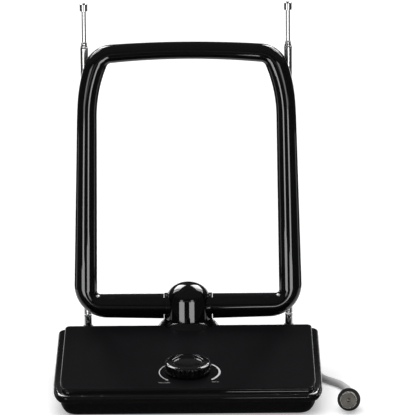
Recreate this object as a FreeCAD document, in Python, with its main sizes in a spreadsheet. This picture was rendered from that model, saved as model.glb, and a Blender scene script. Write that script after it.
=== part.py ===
"""Indoor television antenna: a wedge base with a gain knob, a tilting loop and two telescopic rods."""
import FreeCAD, Part
import math
import os
import re

import Sketcher

Vector = FreeCAD.Vector

# Driving sizes, in millimetres and degrees
SIZES = {
    # Base casing
    "base_half_width": 77.4,
    "side_flare": 0.5,
    "base_depth": 132.7,
    "shell_wall": 2.0,
    "skirt_wall": 3.0,
    "shell_fit": 0.2,
    "stock_height": 60.0,
    "skirt_rim_height": 8.0,
    "skirt_rim_round": 2.7,
    "skirt_bend_radius": 75.0,
    "skirt_bend_angle": 15.0,
    "skirt_nose_radius": 8.0,
    "skirt_rear_radius": 5.0,
    "ledge_drop": 2.2,
    "ledge_round": 1.6,
    "panel_inset": 4.0,
    "panel_front_inset": 5.5,
    "panel_front_height": 15.6,
    "panel_length": 102.0,
    "panel_angle": 9.0,
    "panel_bend_radius": 60.0,
    "panel_bend_angle": 12.0,
    "panel_nose_radius": 4.5,
    "panel_rear_radius": 3.0,
    "panel_edge_round": 0.9,
    "rear_step": 8.4,
    "rear_deck_height": 25.0,
    "rear_corner_radius": 14.0,
    "rear_edge_round": 1.5,
    "tray_inset": 3.65,
    "tray_bottom_height": 0.4,
    "tray_bottom_round": 4.6,
    "tray_rear_radius": 9.0,
    "tray_flange": 2.0,
    # Feet, screws and ballast
    "foot_radius": 6.0,
    "foot_height": 1.5,
    "foot_inset": 16.0,
    "screw_radius": 1.4,
    "screw_head_radius": 2.7,
    "screw_head_height": 1.8,
    "screw_bite": 8.0,
    "screw_boss_radius": 3.6,
    "screw_front_inset_x": 14.0,
    "screw_front_inset_y": 25.0,
    "screw_rear_inset_x": 25.0,
    "screw_rear_inset_y": 10.0,
    "ballast_length": 84.0,
    "ballast_width": 44.0,
    "ballast_thickness": 3.0,
    "ballast_y": 8.0,
    # Gain control on the panel
    "knob_setback": 25.4,
    "knob_radius": 13.2,
    "knob_height": 6.6,
    "knob_gap": 0.4,
    "knob_top_round": 0.9,
    "knob_dish_radius": 8.8,
    "knob_dish_depth": 1.1,
    "knob_dish_rise": 0.35,
    "knob_flute_radius": 0.8,
    "knob_flute_count": 30,
    "knob_hollow_radius": 7.4,
    "knob_roof": 2.6,
    "shaft_radius": 3.0,
    "shaft_clearance": 0.05,
    "bushing_radius": 3.9,
    "nut_radius": 5.6,
    "nut_height": 2.0,
    "pot_radius": 8.0,
    "pot_height": 6.5,
    "board_length": 62.0,
    "board_width": 40.0,
    "board_thickness": 1.6,
    "can_length": 18.0,
    "can_width": 24.0,
    "can_height": 4.5,
    "can_offset": 11.0,
    # Sockets on the rear wall
    "socket_inset_x": 35.0,
    "socket_height": 15.0,
    "socket_width": 9.0,
    "socket_depth": 12.0,
    "socket_bore_radius": 2.8,
    "socket_bore_depth": 9.5,
    "socket_pin_radius": 1.0,
    "gland_x": 3.0,
    "gland_height": 13.0,
    "gland_neck_radius": 3.4,
    "gland_flange_radius": 4.6,
    "gland_flange": 1.6,
    "gland_tail_radius": 3.0,
    "gland_tail": 12.0,
    # Post that carries the loop
    "post_setback": 6.5,
    "bar_rise": 10.3,
    "post_radius": 13.1,
    "post_wall": 2.4,
    "dome_rise": 1.7,
    "boss_radius": 18.2,
    "boss_skirt_height": 4.6,
    "boss_top_radius": 14.6,
    "boss_top_drop": 8.5,
    "post_seat": 2.2,
    "post_fit": 0.05,
    "wire_hole_radius": 7.0,
    "post_screw_spread": 9.4,
    "post_screw_radius": 1.1,
    "post_screw_head_radius": 2.0,
    "collar_radius": 8.0,
    "collar_inner_x": 13.3,
    "collar_thickness": 1.1,
    "collar_sleeve_radius": 6.4,
    "collar_sleeve": 2.6,
    "journal_radius": 5.0,
    "journal_clearance": 0.05,
    "journal_length": 6.0,
    "collar_gap": 0.3,
    # Loop of varying round section
    "bar_radius": 7.6,
    "loop_rise": 160.4,
    "loop_half_width": 68.9,
    "loop_bar_slope": 1.3,
    "loop_foot_radius": 20.0,
    "loop_side_lean": 1.68,
    "loop_shoulder_radius": 95.0,
    "loop_shoulder_angle": 18.0,
    "loop_corner_radius": 18.0,
    "loop_top_slope": 3.7,
    "top_bar_thickness": 10.3,
    "loop_bar_width": 13.85,
    "window_foot_radius": 2.0,
    "window_side_lean": 0.68,
    "window_shoulder_radius": 80.0,
    "window_shoulder_angle": 23.0,
    "window_corner_radius": 3.0,
    "window_top_slope": 5.6,
    "element_radius": 1.5,
    "element_clearance": 0.4,
    # Telescopic rods
    "rod_inset": 8.0,
    "rod_setback": 10.0,
    "turret_stem_radius": 2.2,
    "turret_stem_clearance": 0.05,
    "turret_drum_radius": 2.5,
    "turret_drum_height": 1.7,
    "turret_ring_radius": 2.9,
    "turret_ring_height": 1.5,
    "fork_radius": 2.4,
    "fork_slot": 1.6,
    "fork_pin_height": 7.6,
    "fork_slot_clearance": 0.4,
    "fork_end_radius": 2.1,
    "pin_radius": 0.8,
    "pin_clearance": 0.03,
    "tongue_clearance": 0.05,
    "tongue_end_radius": 1.9,
    "rod_screw_radius": 1.2,
    "rod_screw_head_radius": 4.0,
    "rod_screw_head_height": 1.5,
    "rod_screw_bite": 4.0,
    "tube_radius": 2.4,
    "tube_wall": 0.3,
    "tube_clearance": 0.06,
    "tube_foot_gap": 2.7,
    "tube_plug": 5.0,
    "tube_length": 162.9,
    "tube_step": 1.45,
    "tube_end_gap": 4.0,
    "tip_out": 18.8,
    "tip_tail_gap": 22.0,
    "cap_radius": 2.4,
    "cap_height": 4.6,
    "cap_round": 0.8,
    # Aerial lead
    "cord_diameter": 4.5,
    "coil_x": -23.0,
    "coil_y": 101.0,
    "coil_mean_radius": 21.75,
    "coil_turns_across": 3.5,
    "coil_layers": 2.0,
    "plug_x": 92.27,
    "plug_y": -53.1,
    "plug_height": 6.72,
    "plug_tilt": 10.8,
    "plug_turn": 4.3,
    "plug_ring_radius": 6.6,
    "plug_ring": 1.2,
    "plug_grip_radius": 6.0,
    "plug_tail_radius": 3.0,
    "plug_tail": 16.8,
    "plug_barrel_radius": 4.7625,
    "plug_barrel_wall": 0.4,
    "plug_barrel_length": 9.0,
    "plug_barrel_root": 4.0,
    "plug_core_recess": 4.0,
    "plug_pin_radius": 1.17,
    "plug_pin_length": 9.6,
}

# Places that several pieces share, worked out from the driving sizes
FRONT_Y = "(0 - base_depth / 2)"
REAR_Y = "(base_depth / 2)"
PANEL_FRONT_Y = f"({FRONT_Y} + panel_front_inset)"
PANEL_REAR_Y = f"({PANEL_FRONT_Y} + panel_length * cos(panel_angle))"
PANEL_REAR_Z = "(panel_front_height + panel_length * sin(panel_angle))"
SKIRT_REAR_Y = f"({PANEL_REAR_Y} + 1)"
REAR_HALF = "(base_half_width - rear_step)"
ROD_X = f"({REAR_HALF} - rod_inset)"
SOCKET_X = f"(socket_inset_x - {REAR_HALF})"
POST_Y = f"({PANEL_REAR_Y} + post_setback)"
BAR_Z = f"({PANEL_REAR_Z} + bar_rise)"
BOSS_TOP_Z = f"({BAR_Z} - boss_top_drop)"
POST_FOOT_Z = f"({BOSS_TOP_Z} - post_seat)"
ROD_Y = f"({POST_Y} + rod_setback)"
PIN_Z = "(rear_deck_height + fork_pin_height)"
TUBE_FOOT_Z = f"({PIN_Z} + tube_foot_gap)"
TUBE_TOP_Z = f"({TUBE_FOOT_Z} + tube_length)"
KNOB_Y = f"({PANEL_FRONT_Y} + knob_setback * cos(panel_angle))"
KNOB_Z = "(panel_front_height + knob_setback * sin(panel_angle))"
TRAY_FLOOR_Z = "(tray_bottom_height + shell_wall)"
COLLAR_OUTER_X = "(collar_inner_x + collar_thickness)"
BAR_END_X = f"({COLLAR_OUTER_X} + collar_gap)"

LINE = "line"
ARC_IN = "arc tangent to the line before it"
ARC_OUT = "arc tangent to the line after it"

document = FreeCAD.newDocument("indoor_antenna")
sheet = document.addObject("Spreadsheet::Sheet", "Sizes")
nodes = []


def fill_sheet():
    """Write each driving size to a cell of its own and name the cell."""
    for row, (name, size) in enumerate(SIZES.items(), start=1):
        sheet.set(f"A{row}", name)
        sheet.set(f"B{row}", str(size))
        sheet.setAlias(f"B{row}", name)
    document.recompute()


def linked(formula):
    """Turn the size names in a formula into references to the sheet."""
    return re.sub(r"[a-z][a-z_]*", lambda word: f"Sizes.{word[0]}" if word[0] in SIZES else word[0], formula)


def value(formula):
    """Give the number that a formula stands for."""
    return float(sheet.evalExpression(linked(formula)))


def tie(thing, path, formula):
    """Bind one property of an object to a formula of sizes."""
    thing.setExpression(path, linked(formula))


def node(thing, label):
    """Name an object as one piece of the antenna."""
    thing.Label = label
    nodes.append(thing)
    return thing


# Sketches and features
def origin_plane(body, role):
    """Find one of a body's own origin planes."""
    return next(item for item in body.Origin.OriginFeatures if item.Role == role)


def arc_between(start, end, direction, tangent_at_start):
    """Make the arc from start to end whose tangent at one end has the given direction."""
    anchor = start if tangent_at_start else end
    other = end if tangent_at_start else start
    normal = Vector(-direction.y, direction.x, 0).normalize()
    chord = other - anchor
    centre = anchor + normal * (chord.dot(chord) / (2 * chord.dot(normal)))
    radius = (start - centre).Length
    middle = centre + ((start - centre) + (end - centre)).normalize() * radius
    return Part.Arc(start, middle, end)


def sketch(body, name, role, corners, offset="0"):
    """Draw a closed outline of lines and tangent arcs whose corners are formulas.

    Each corner is (x formula, y formula, kind of the edge that starts there).
    """
    drawing = body.newObject("Sketcher::SketchObject", name)
    drawing.AttachmentSupport = [(origin_plane(body, role), "")]
    drawing.MapMode = "FlatFace"
    tie(drawing, "AttachmentOffset.Base.z", offset)
    points = [Vector(value(x), value(y), 0) for x, y, kind in corners]
    count = len(points)
    begins = []
    ends = []
    for index, (x, y, kind) in enumerate(corners):
        start = points[index]
        end = points[(index + 1) % count]
        if kind == LINE:
            edge = Part.LineSegment(start, end)
        elif kind == ARC_IN:
            edge = arc_between(start, end, start - points[index - 1], True)
        else:
            edge = arc_between(start, end, points[(index + 2) % count] - end, False)
        drawing.addGeometry(edge)
        forward = drawing.Geometry[index].StartPoint.distanceToPoint(start) < 1e-6
        begins.append(1 if forward else 2)
        ends.append(2 if forward else 1)
    for index, (x, y, kind) in enumerate(corners):
        before = (index - 1) % count
        smooth = kind == ARC_IN or corners[before][2] == ARC_OUT
        joint = "Tangent" if smooth else "Coincident"
        drawing.addConstraint(Sketcher.Constraint(joint, before, ends[before], index, begins[index]))
        for way, formula, number in (("DistanceX", x, points[index].x), ("DistanceY", y, points[index].y)):
            held = drawing.addConstraint(Sketcher.Constraint(way, -1, 1, index, begins[index], number))
            tie(drawing, f"Constraints[{held}]", formula)
    return drawing


def new_body(name):
    """Start an empty body."""
    return document.addObject("PartDesign::Body", name)


def pad(body, name, drawing, length):
    """Raise a sketch by a length."""
    feature = body.newObject("PartDesign::Pad", name)
    feature.Profile = drawing
    tie(feature, "Length", length)
    return feature


def cut_across(body, name, drawing):
    """Cut a side profile right across the body."""
    feature = body.newObject("PartDesign::Pocket", name)
    feature.Profile = drawing
    feature.Type = "ThroughAll"
    feature.Midplane = True
    return feature


def revolve(body, name, drawing):
    """Turn a profile about the upright axis of its sketch."""
    feature = body.newObject("PartDesign::Revolution", name)
    feature.Profile = drawing
    feature.ReferenceAxis = (drawing, ["V_Axis"])
    feature.Angle = 360
    return feature


def round_edges(body, name, base, radius, chosen):
    """Round the edges of a feature that a test picks out."""
    document.recompute()
    picked = [f"Edge{number}" for number, edge in enumerate(base.Shape.Edges, start=1) if chosen(edge)]
    feature = body.newObject("PartDesign::Fillet", name)
    feature.Base = (base, picked)
    tie(feature, "Radius", radius)
    return feature


# Primitives and booleans
TURNS = {
    "up": FreeCAD.Rotation(),
    "right": FreeCAD.Rotation(Vector(0, 1, 0), 90),
    "back": FreeCAD.Rotation(Vector(1, 0, 0), -90),
    "panel": FreeCAD.Rotation(Vector(1, 0, 0), SIZES["panel_angle"]),
}


def place(thing, x, y, z, turn="up"):
    """Put a primitive at a place, with its own axis turned one of the named ways."""
    thing.Placement = FreeCAD.Placement(Vector(0, 0, 0), TURNS[turn])
    for axis, formula in (("x", x), ("y", y), ("z", z)):
        tie(thing, f"Placement.Base.{axis}", formula)
    if turn == "panel":
        tie(thing, "Placement.Rotation.Angle", "panel_angle")
    return thing


def cylinder(name, radius, height, x, y, z, turn="up"):
    """Make a cylinder from the centre of its lower end."""
    thing = document.addObject("Part::Cylinder", name)
    tie(thing, "Radius", radius)
    tie(thing, "Height", height)
    return place(thing, x, y, z, turn)


def cone(name, radius, end_radius, height, x, y, z, turn="up"):
    """Make a tapered cylinder from the centre of its lower end."""
    thing = document.addObject("Part::Cone", name)
    tie(thing, "Radius1", radius)
    tie(thing, "Radius2", end_radius)
    tie(thing, "Height", height)
    return place(thing, x, y, z, turn)


def block(name, length, width, height, x, y, z, turn="up"):
    """Make a box from its left, front, lower corner."""
    thing = document.addObject("Part::Box", name)
    tie(thing, "Length", length)
    tie(thing, "Width", width)
    tie(thing, "Height", height)
    return place(thing, x, y, z, turn)


def fuse(name, things):
    """Join objects into one solid."""
    joined = document.addObject("Part::MultiFuse", name)
    joined.Shapes = things
    joined.Refine = True
    return joined


def cut(name, base, tools):
    """Take tools away from a base."""
    result = document.addObject("Part::Cut", name)
    result.Base = base
    result.Tool = tools[0] if len(tools) == 1 else fuse(f"{name}_tools", tools)
    result.Refine = True
    return result


def group(name, things):
    """Keep like solids together as one object, each still a solid of its own."""
    gathered = document.addObject("Part::Compound", name)
    gathered.Links = things
    return gathered


def panel_place(along, above):
    """Give the y and z formulas of a place by the knob's axis: along the panel and above it."""
    y = f"({KNOB_Y} + ({along}) * cos(panel_angle) - ({above}) * sin(panel_angle))"
    z = f"({KNOB_Z} + ({along}) * sin(panel_angle) + ({above}) * cos(panel_angle))"
    return y, z


# Base casing
def casing_outline(half_width, front_y, rear_y, bend_radius, bend_angle, nose_radius, rear_radius):
    """Give a plan with sides that flare a little to the rear and bend in towards rounded front corners."""
    bend_x = f"({half_width} - {bend_radius} * (cos(side_flare) - cos({bend_angle})))"
    bend_y = f"({front_y} + {nose_radius} * (1 - sin({bend_angle})))"
    side_y = f"({bend_y} + {bend_radius} * (sin({bend_angle}) - sin(side_flare)))"
    nose_x = f"({bend_x} - {nose_radius} * cos({bend_angle}))"
    corner_y = f"({rear_y} - {rear_radius} * (1 + sin(side_flare)))"
    corner_x = f"({half_width} + ({corner_y} - {side_y}) * tan(side_flare))"
    rear_x = f"({corner_x} - {rear_radius} * cos(side_flare))"
    return [
        (f"0 - {nose_x}", front_y, LINE),
        (nose_x, front_y, ARC_IN),
        (bend_x, bend_y, ARC_OUT),
        (half_width, side_y, LINE),
        (corner_x, corner_y, ARC_IN),
        (rear_x, rear_y, LINE),
        (f"0 - {rear_x}", rear_y, ARC_IN),
        (f"0 - {corner_x}", corner_y, LINE),
        (f"0 - {half_width}", side_y, ARC_IN),
        (f"0 - {bend_x}", bend_y, ARC_OUT),
    ]


def rear_outline(half_width, front_y, rear_y, corner_radius):
    """Give the plan of the rear block: square in front, rounded behind."""
    corner_x = f"({half_width} - {corner_radius})"
    corner_y = f"({rear_y} - {corner_radius})"
    return [
        (f"0 - {half_width}", front_y, LINE),
        (half_width, front_y, LINE),
        (half_width, corner_y, ARC_IN),
        (corner_x, rear_y, LINE),
        (f"0 - {corner_x}", rear_y, ARC_IN),
        (f"0 - {half_width}", corner_y, LINE),
    ]


def sloped_cut(body, name, front_height):
    """Cut a body off along the panel's slope, at a height over the panel's front edge."""
    before_y = f"({FRONT_Y} - stock_height)"
    after_y = f"({REAR_Y} + stock_height)"
    before_z = f"({front_height} + ({before_y} - {PANEL_FRONT_Y}) * tan(panel_angle))"
    after_z = f"({front_height} + ({after_y} - {PANEL_FRONT_Y}) * tan(panel_angle))"
    top_z = "(stock_height * 3)"
    corners = [
        (before_y, before_z, LINE),
        (after_y, after_z, LINE),
        (after_y, top_z, LINE),
        (before_y, top_z, LINE),
    ]
    return cut_across(body, f"{name}_cut", sketch(body, f"{name}_profile", "YZ_Plane", corners))


def casing_parts(name, inset, skirt_inset, floor_z):
    """Build the skirt, the raised panel deck and the rear block, each drawn in by an inset on every side."""
    lower = f"({inset} / cos(panel_angle))"
    skirt = new_body(f"{name}_skirt")
    outline = casing_outline(
        f"(base_half_width - {skirt_inset})", f"({FRONT_Y} + {skirt_inset})", f"({SKIRT_REAR_Y} - {skirt_inset})",
        f"(skirt_bend_radius - {skirt_inset})", "skirt_bend_angle",
        f"(skirt_nose_radius - {skirt_inset})", f"(skirt_rear_radius - {skirt_inset})")
    drawing = sketch(skirt, f"{name}_skirt_plan", "XY_Plane", outline, floor_z)
    pad(skirt, f"{name}_skirt_block", drawing, "stock_height")
    skirt_top = sloped_cut(skirt, f"{name}_ledge", f"(panel_front_height - ledge_drop - {lower})")

    deck = new_body(f"{name}_deck")
    outline = casing_outline(
        f"(base_half_width - panel_inset - {inset})", f"({PANEL_FRONT_Y} + {inset})",
        f"({PANEL_REAR_Y} - {inset})", f"(panel_bend_radius - {inset})", "panel_bend_angle",
        f"(panel_nose_radius - {inset})", f"(panel_rear_radius - {inset})")
    drawing = sketch(deck, f"{name}_deck_plan", "XY_Plane", outline, floor_z)
    pad(deck, f"{name}_deck_block", drawing, "stock_height")
    deck_top = sloped_cut(deck, f"{name}_panel", f"(panel_front_height - {lower})")

    rear = new_body(f"{name}_rear")
    outline = rear_outline(
        f"({REAR_HALF} - {inset})", f"({PANEL_REAR_Y} - boss_radius)", f"({REAR_Y} - {inset})",
        f"(rear_corner_radius - {inset})")
    drawing = sketch(rear, f"{name}_rear_plan", "XY_Plane", outline, floor_z)
    rear_top = pad(rear, f"{name}_rear_block", drawing, f"rear_deck_height - {inset} - {floor_z}")
    return (skirt, skirt_top), (deck, deck_top), (rear, rear_top)


def top_edges(level):
    """Give a test for edges that lie wholly above a level."""
    return lambda edge: edge.BoundBox.ZMin > level


def screw_places():
    """Give the x and y formulas of the four screws that hold the casing together."""
    front_x = "(base_half_width - screw_front_inset_x)"
    front_y = f"({FRONT_Y} + screw_front_inset_y)"
    rear_x = f"({REAR_HALF} - screw_rear_inset_x)"
    rear_y = f"({REAR_Y} - screw_rear_inset_y)"
    return [
        (f"0 - {front_x}", front_y), (front_x, front_y),
        (f"0 - {rear_x}", rear_y), (rear_x, rear_y),
    ]


def post_screw_places():
    """Give the x formulas of the two screws under the post."""
    return ["0 - post_screw_spread", "post_screw_spread"]


def make_upper_shell():
    """Make the upper casing: skirt, raised panel, rear deck and the flared boss under the post."""
    (skirt, skirt_top), (deck, deck_top), (rear, rear_top) = casing_parts("casing", "0", "0", "skirt_rim_height")
    rim = value("skirt_rim_height")
    ledge = round_edges(skirt, "ledge_rounding", skirt_top, "ledge_round", top_edges(rim + 1))
    round_edges(skirt, "rim_rounding", ledge, "skirt_rim_round", lambda edge: edge.BoundBox.ZMax < rim + 0.1)
    round_edges(deck, "panel_rounding", deck_top, "panel_edge_round", top_edges(rim + 1))
    round_edges(rear, "rear_rounding", rear_top, "rear_edge_round", top_edges(rim + 1))

    boss = new_body("post_boss")
    boss_foot_z = "(rear_deck_height - shell_wall)"
    profile = [
        ("0", boss_foot_z, LINE),
        ("boss_radius", boss_foot_z, LINE),
        ("boss_radius", "rear_deck_height + boss_skirt_height", LINE),
        ("boss_top_radius", BOSS_TOP_Z, LINE),
        ("0", BOSS_TOP_Z, LINE),
    ]
    drawing = sketch(boss, "post_boss_profile", "XZ_Plane", profile, f"0 - {POST_Y}")
    revolve(boss, "post_boss_turned", drawing)
    outer = fuse("casing", [skirt, deck, rear, boss])

    below = "(skirt_rim_height - shell_wall)"
    hollow = fuse("casing_hollow", [body for body, top in casing_parts("hollow", "shell_wall", "skirt_wall", below)])
    bosses = []
    tools = []
    for number, (x, y) in enumerate(screw_places(), start=1):
        bosses.append(cylinder(
            f"shell_boss_{number}", "screw_boss_radius", "stock_height", x, y, "skirt_rim_height + tray_flange"))
        tools.append(cylinder(
            f"shell_pilot_{number}", "screw_radius", "screw_bite", x, y, "skirt_rim_height + tray_flange"))
    tools.insert(0, cut("casing_room", hollow, bosses))

    bushing_y, bushing_z = panel_place("0", "0 - pot_height")
    tools.append(cylinder(
        "bushing_hole", "bushing_radius", "pot_height * 2", "0", bushing_y, bushing_z, "panel"))
    tools.append(cylinder("post_seat_hole", "post_radius + post_fit", "stock_height", "0", POST_Y, POST_FOOT_Z))
    tools.append(cylinder("wire_hole", "wire_hole_radius", "stock_height", "0", POST_Y, boss_foot_z))
    for number, x in enumerate(post_screw_places(), start=1):
        tools.append(cylinder(f"post_screw_hole_{number}", "post_screw_radius", "stock_height", x, POST_Y,
                              "skirt_rim_height"))
    for side, x in (("left", f"0 - {ROD_X}"), ("right", ROD_X)):
        tools.append(cylinder(
            f"rod_hole_{side}", "turret_stem_radius + turret_stem_clearance", "shell_wall * 2",
            x, ROD_Y, "rear_deck_height - shell_wall * 1.5"))
    wall_y = f"({REAR_Y} - shell_wall * 1.5)"
    tools.append(cylinder(
        "socket_hole", "socket_bore_radius + shell_fit", "shell_wall * 2", SOCKET_X, wall_y, "socket_height", "back"))
    tools.append(cylinder(
        "gland_hole", "gland_neck_radius", "shell_wall * 2", "gland_x", wall_y, "gland_height", "back"))
    node(cut("upper_shell", outer, tools), "upper_shell")


def tray_parts(name, inset, rear_inset, floor_z, height, corner_radius):
    """Build a plate of the tray's plan: a main part under the panel and one under the rear deck."""
    main = new_body(f"{name}_main")
    outline = casing_outline(
        f"(base_half_width - {inset})", f"({FRONT_Y} + {inset})", f"({SKIRT_REAR_Y} - {inset})",
        f"(skirt_bend_radius - {inset})", "skirt_bend_angle",
        f"(skirt_nose_radius + tray_bottom_round - {inset})", corner_radius)
    main_top = pad(main, f"{name}_main_block", sketch(main, f"{name}_main_plan", "XY_Plane", outline, floor_z), height)
    rear = new_body(f"{name}_rear")
    outline = rear_outline(
        f"({REAR_HALF} - {rear_inset})", f"({PANEL_REAR_Y} - boss_radius * 2)", f"({REAR_Y} - {rear_inset})",
        f"(rear_corner_radius - {rear_inset})")
    rear_top = pad(rear, f"{name}_rear_block", sketch(rear, f"{name}_rear_plan", "XY_Plane", outline, floor_z), height)
    return (main, main_top), (rear, rear_top)


def make_base_tray():
    """Make the lower tray: a dish with rounded lower edges and a flange that fits inside the skirt."""
    rear_inset = "(shell_wall + shell_fit)"
    (main, main_top), (rear, rear_top) = tray_parts(
        "dish", "tray_inset", rear_inset, "tray_bottom_height", "skirt_rim_height - tray_bottom_height",
        "tray_rear_radius")
    lowest = value("tray_bottom_height") + 0.1
    round_edges(main, "dish_main_rounding", main_top, "tray_bottom_round", lambda edge: edge.BoundBox.ZMax < lowest)
    round_edges(rear, "dish_rear_rounding", rear_top, "tray_bottom_round", lambda edge: edge.BoundBox.ZMax < lowest)
    flange = tray_parts(
        "flange", "(skirt_wall + shell_fit)", rear_inset, "skirt_rim_height", "tray_flange", "skirt_rear_radius")
    outer = fuse("tray", [main, rear, flange[0][0], flange[1][0]])

    wall = "(tray_inset + shell_wall)"
    room = tray_parts(
        "room", wall, f"({rear_inset} + shell_wall)", TRAY_FLOOR_Z, "stock_height", "(tray_rear_radius - shell_wall)")
    posts = []
    tools = []
    for number, (x, y) in enumerate(screw_places(), start=1):
        posts.append(cylinder(
            f"tray_post_{number}", "screw_boss_radius", f"skirt_rim_height + tray_flange - {TRAY_FLOOR_Z}",
            x, y, TRAY_FLOOR_Z))
        tools.append(cylinder(f"tray_screw_hole_{number}", "screw_radius", "stock_height", x, y, "0"))
        tools.append(cylinder(
            f"tray_head_hole_{number}", "screw_head_radius + shell_fit", "screw_head_height + shell_fit",
            x, y, "tray_bottom_height"))
    for number, (x, y) in enumerate(foot_places(), start=1):
        tools.append(cylinder(f"foot_recess_{number}", "foot_radius", "foot_height", x, y, "0"))
    tools.insert(0, cut("tray_room", fuse("tray_hollow", [room[0][0], room[1][0]]), posts))
    node(cut("base_tray", outer, tools), "base_tray")


def foot_places():
    """Give the x and y formulas of the four feet."""
    x = "(base_half_width - tray_inset - foot_inset)"
    front_y = f"({FRONT_Y} + tray_inset + foot_inset * 0.75)"
    rear_y = f"({REAR_Y} - tray_inset - foot_inset)"
    return [(f"0 - {x}", front_y), (x, front_y), (f"0 - {x}", rear_y), (x, rear_y)]


def make_fixings():
    """Make the feet, the casing screws, the ballast plate and the screws under the post."""
    feet = []
    for number, (x, y) in enumerate(foot_places(), start=1):
        feet.append(cylinder(f"foot_{number}", "foot_radius", "foot_height", x, y, "0"))
    node(group("rubber_feet", feet), "rubber_feet")

    screws = []
    shank = "(skirt_rim_height + tray_flange + screw_bite - tray_bottom_height - screw_head_height - shell_fit)"
    for number, (x, y) in enumerate(screw_places(), start=1):
        head = cylinder(f"case_screw_head_{number}", "screw_head_radius", "screw_head_height",
                        x, y, "tray_bottom_height + shell_fit")
        body = cylinder(f"case_screw_shank_{number}", "screw_radius", shank,
                        x, y, "tray_bottom_height + screw_head_height + shell_fit")
        screws.append(fuse(f"case_screw_{number}", [head, body]))
    node(group("case_screws", screws), "case_screws")

    plate = block("ballast_plate", "ballast_length", "ballast_width", "ballast_thickness",
                  "0 - ballast_length / 2", "ballast_y - ballast_width / 2", TRAY_FLOOR_Z)
    node(plate, "ballast_plate")

    screws = []
    top_z = "(rear_deck_height - shell_wall)"
    for number, x in enumerate(post_screw_places(), start=1):
        head = cylinder(f"post_screw_head_{number}", "post_screw_head_radius", "screw_head_height",
                        x, POST_Y, f"{top_z} - screw_head_height")
        body = cylinder(f"post_screw_shank_{number}", "post_screw_radius", f"{POST_FOOT_Z} + post_seat - {top_z}",
                        x, POST_Y, top_z)
        screws.append(fuse(f"post_screw_{number}", [head, body]))
    node(group("post_screws", screws), "post_screws")


# Gain control
def make_gain_control():
    """Make the knob with its shaft, nut, potentiometer, circuit board and shield can."""
    knob = new_body("knob_blank")
    roof_z = "(knob_height - knob_roof)"
    profile = [
        ("shaft_radius", roof_z, LINE),
        ("knob_hollow_radius", roof_z, LINE),
        ("knob_hollow_radius", "knob_gap", LINE),
        ("knob_radius", "knob_gap", LINE),
        ("knob_radius", "knob_height - knob_top_round", ARC_IN),
        ("knob_radius - knob_top_round", "knob_height", LINE),
        ("knob_dish_radius", "knob_height + knob_dish_rise", LINE),
        ("knob_dish_radius - knob_dish_depth", "knob_height + knob_dish_rise - knob_dish_depth", LINE),
        ("shaft_radius", "knob_height + knob_dish_rise - knob_dish_depth * 1.2", LINE),
    ]
    revolve(knob, "knob_turned", sketch(knob, "knob_profile", "XZ_Plane", profile))
    profile = [
        ("0", roof_z, LINE),
        ("shaft_radius", roof_z, LINE),
        ("shaft_radius", "knob_height + knob_dish_rise - knob_dish_depth * 1.2", LINE),
        ("0", "knob_height + knob_dish_rise - knob_dish_depth * 1.2", LINE),
    ]
    revolve(knob, "knob_crown", sketch(knob, "knob_crown_profile", "XZ_Plane", profile))
    place(knob, "0", KNOB_Y, KNOB_Z, "panel")
    flutes = []
    flute_top = "(knob_height - knob_top_round * 2)"
    for number in range(int(value("knob_flute_count"))):
        angle = f"(360 / knob_flute_count * {number})"
        y, z = panel_place(f"knob_radius * 1.03 * sin({angle})", "0")
        flutes.append(cylinder(f"knob_flute_{number + 1}", "knob_flute_radius", flute_top,
                               f"knob_radius * 1.03 * cos({angle})", y, z, "panel"))
    node(cut("fluted_knob", knob, flutes), "gain_knob")

    y, z = panel_place("0", "0 - pot_height / 2")
    shaft = cylinder("potentiometer_shaft", "shaft_radius", f"{roof_z} + pot_height / 2", "0", y, z, "panel")
    node(shaft, "potentiometer_shaft")

    under = "(0 - shell_wall)"
    y, z = panel_place("0", f"{under} - pot_height")
    case = cylinder("pot_case", "pot_radius", "pot_height", "0", y, z, "panel")
    neck = cylinder("pot_neck", "bushing_radius", "pot_height + shell_wall + nut_height", "0", y, z, "panel")
    y, z = panel_place("0", "0 - pot_height / 2 - shaft_clearance")
    bore = cylinder("pot_bore", "shaft_radius + shaft_clearance", "stock_height", "0", y, z, "panel")
    node(cut("potentiometer", fuse("pot_outer", [case, neck]), [bore]), "gain_potentiometer")

    y, z = panel_place("0", "0")
    nut = document.addObject("Part::Prism", "nut_hexagon")
    tie(nut, "Circumradius", "nut_radius")
    tie(nut, "Height", "nut_height")
    nut.Polygon = 6
    place(nut, "0", y, z, "panel")
    hole = cylinder("nut_hole", "bushing_radius", "nut_height", "0", y, z, "panel")
    node(cut("nut", nut, [hole]), "potentiometer_nut")

    y, z = panel_place("0 - board_width / 2", f"{under} - pot_height - board_thickness")
    board = block("amplifier_board", "board_length", "board_width", "board_thickness",
                  "0 - board_length / 2", y, z, "panel")
    node(board, "amplifier_board")
    y, z = panel_place("0 - can_width / 2", f"{under} - pot_height")
    node(block("shield_can", "can_length", "can_width", "can_height", "can_offset", y, z, "panel"), "shield_can")


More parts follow.
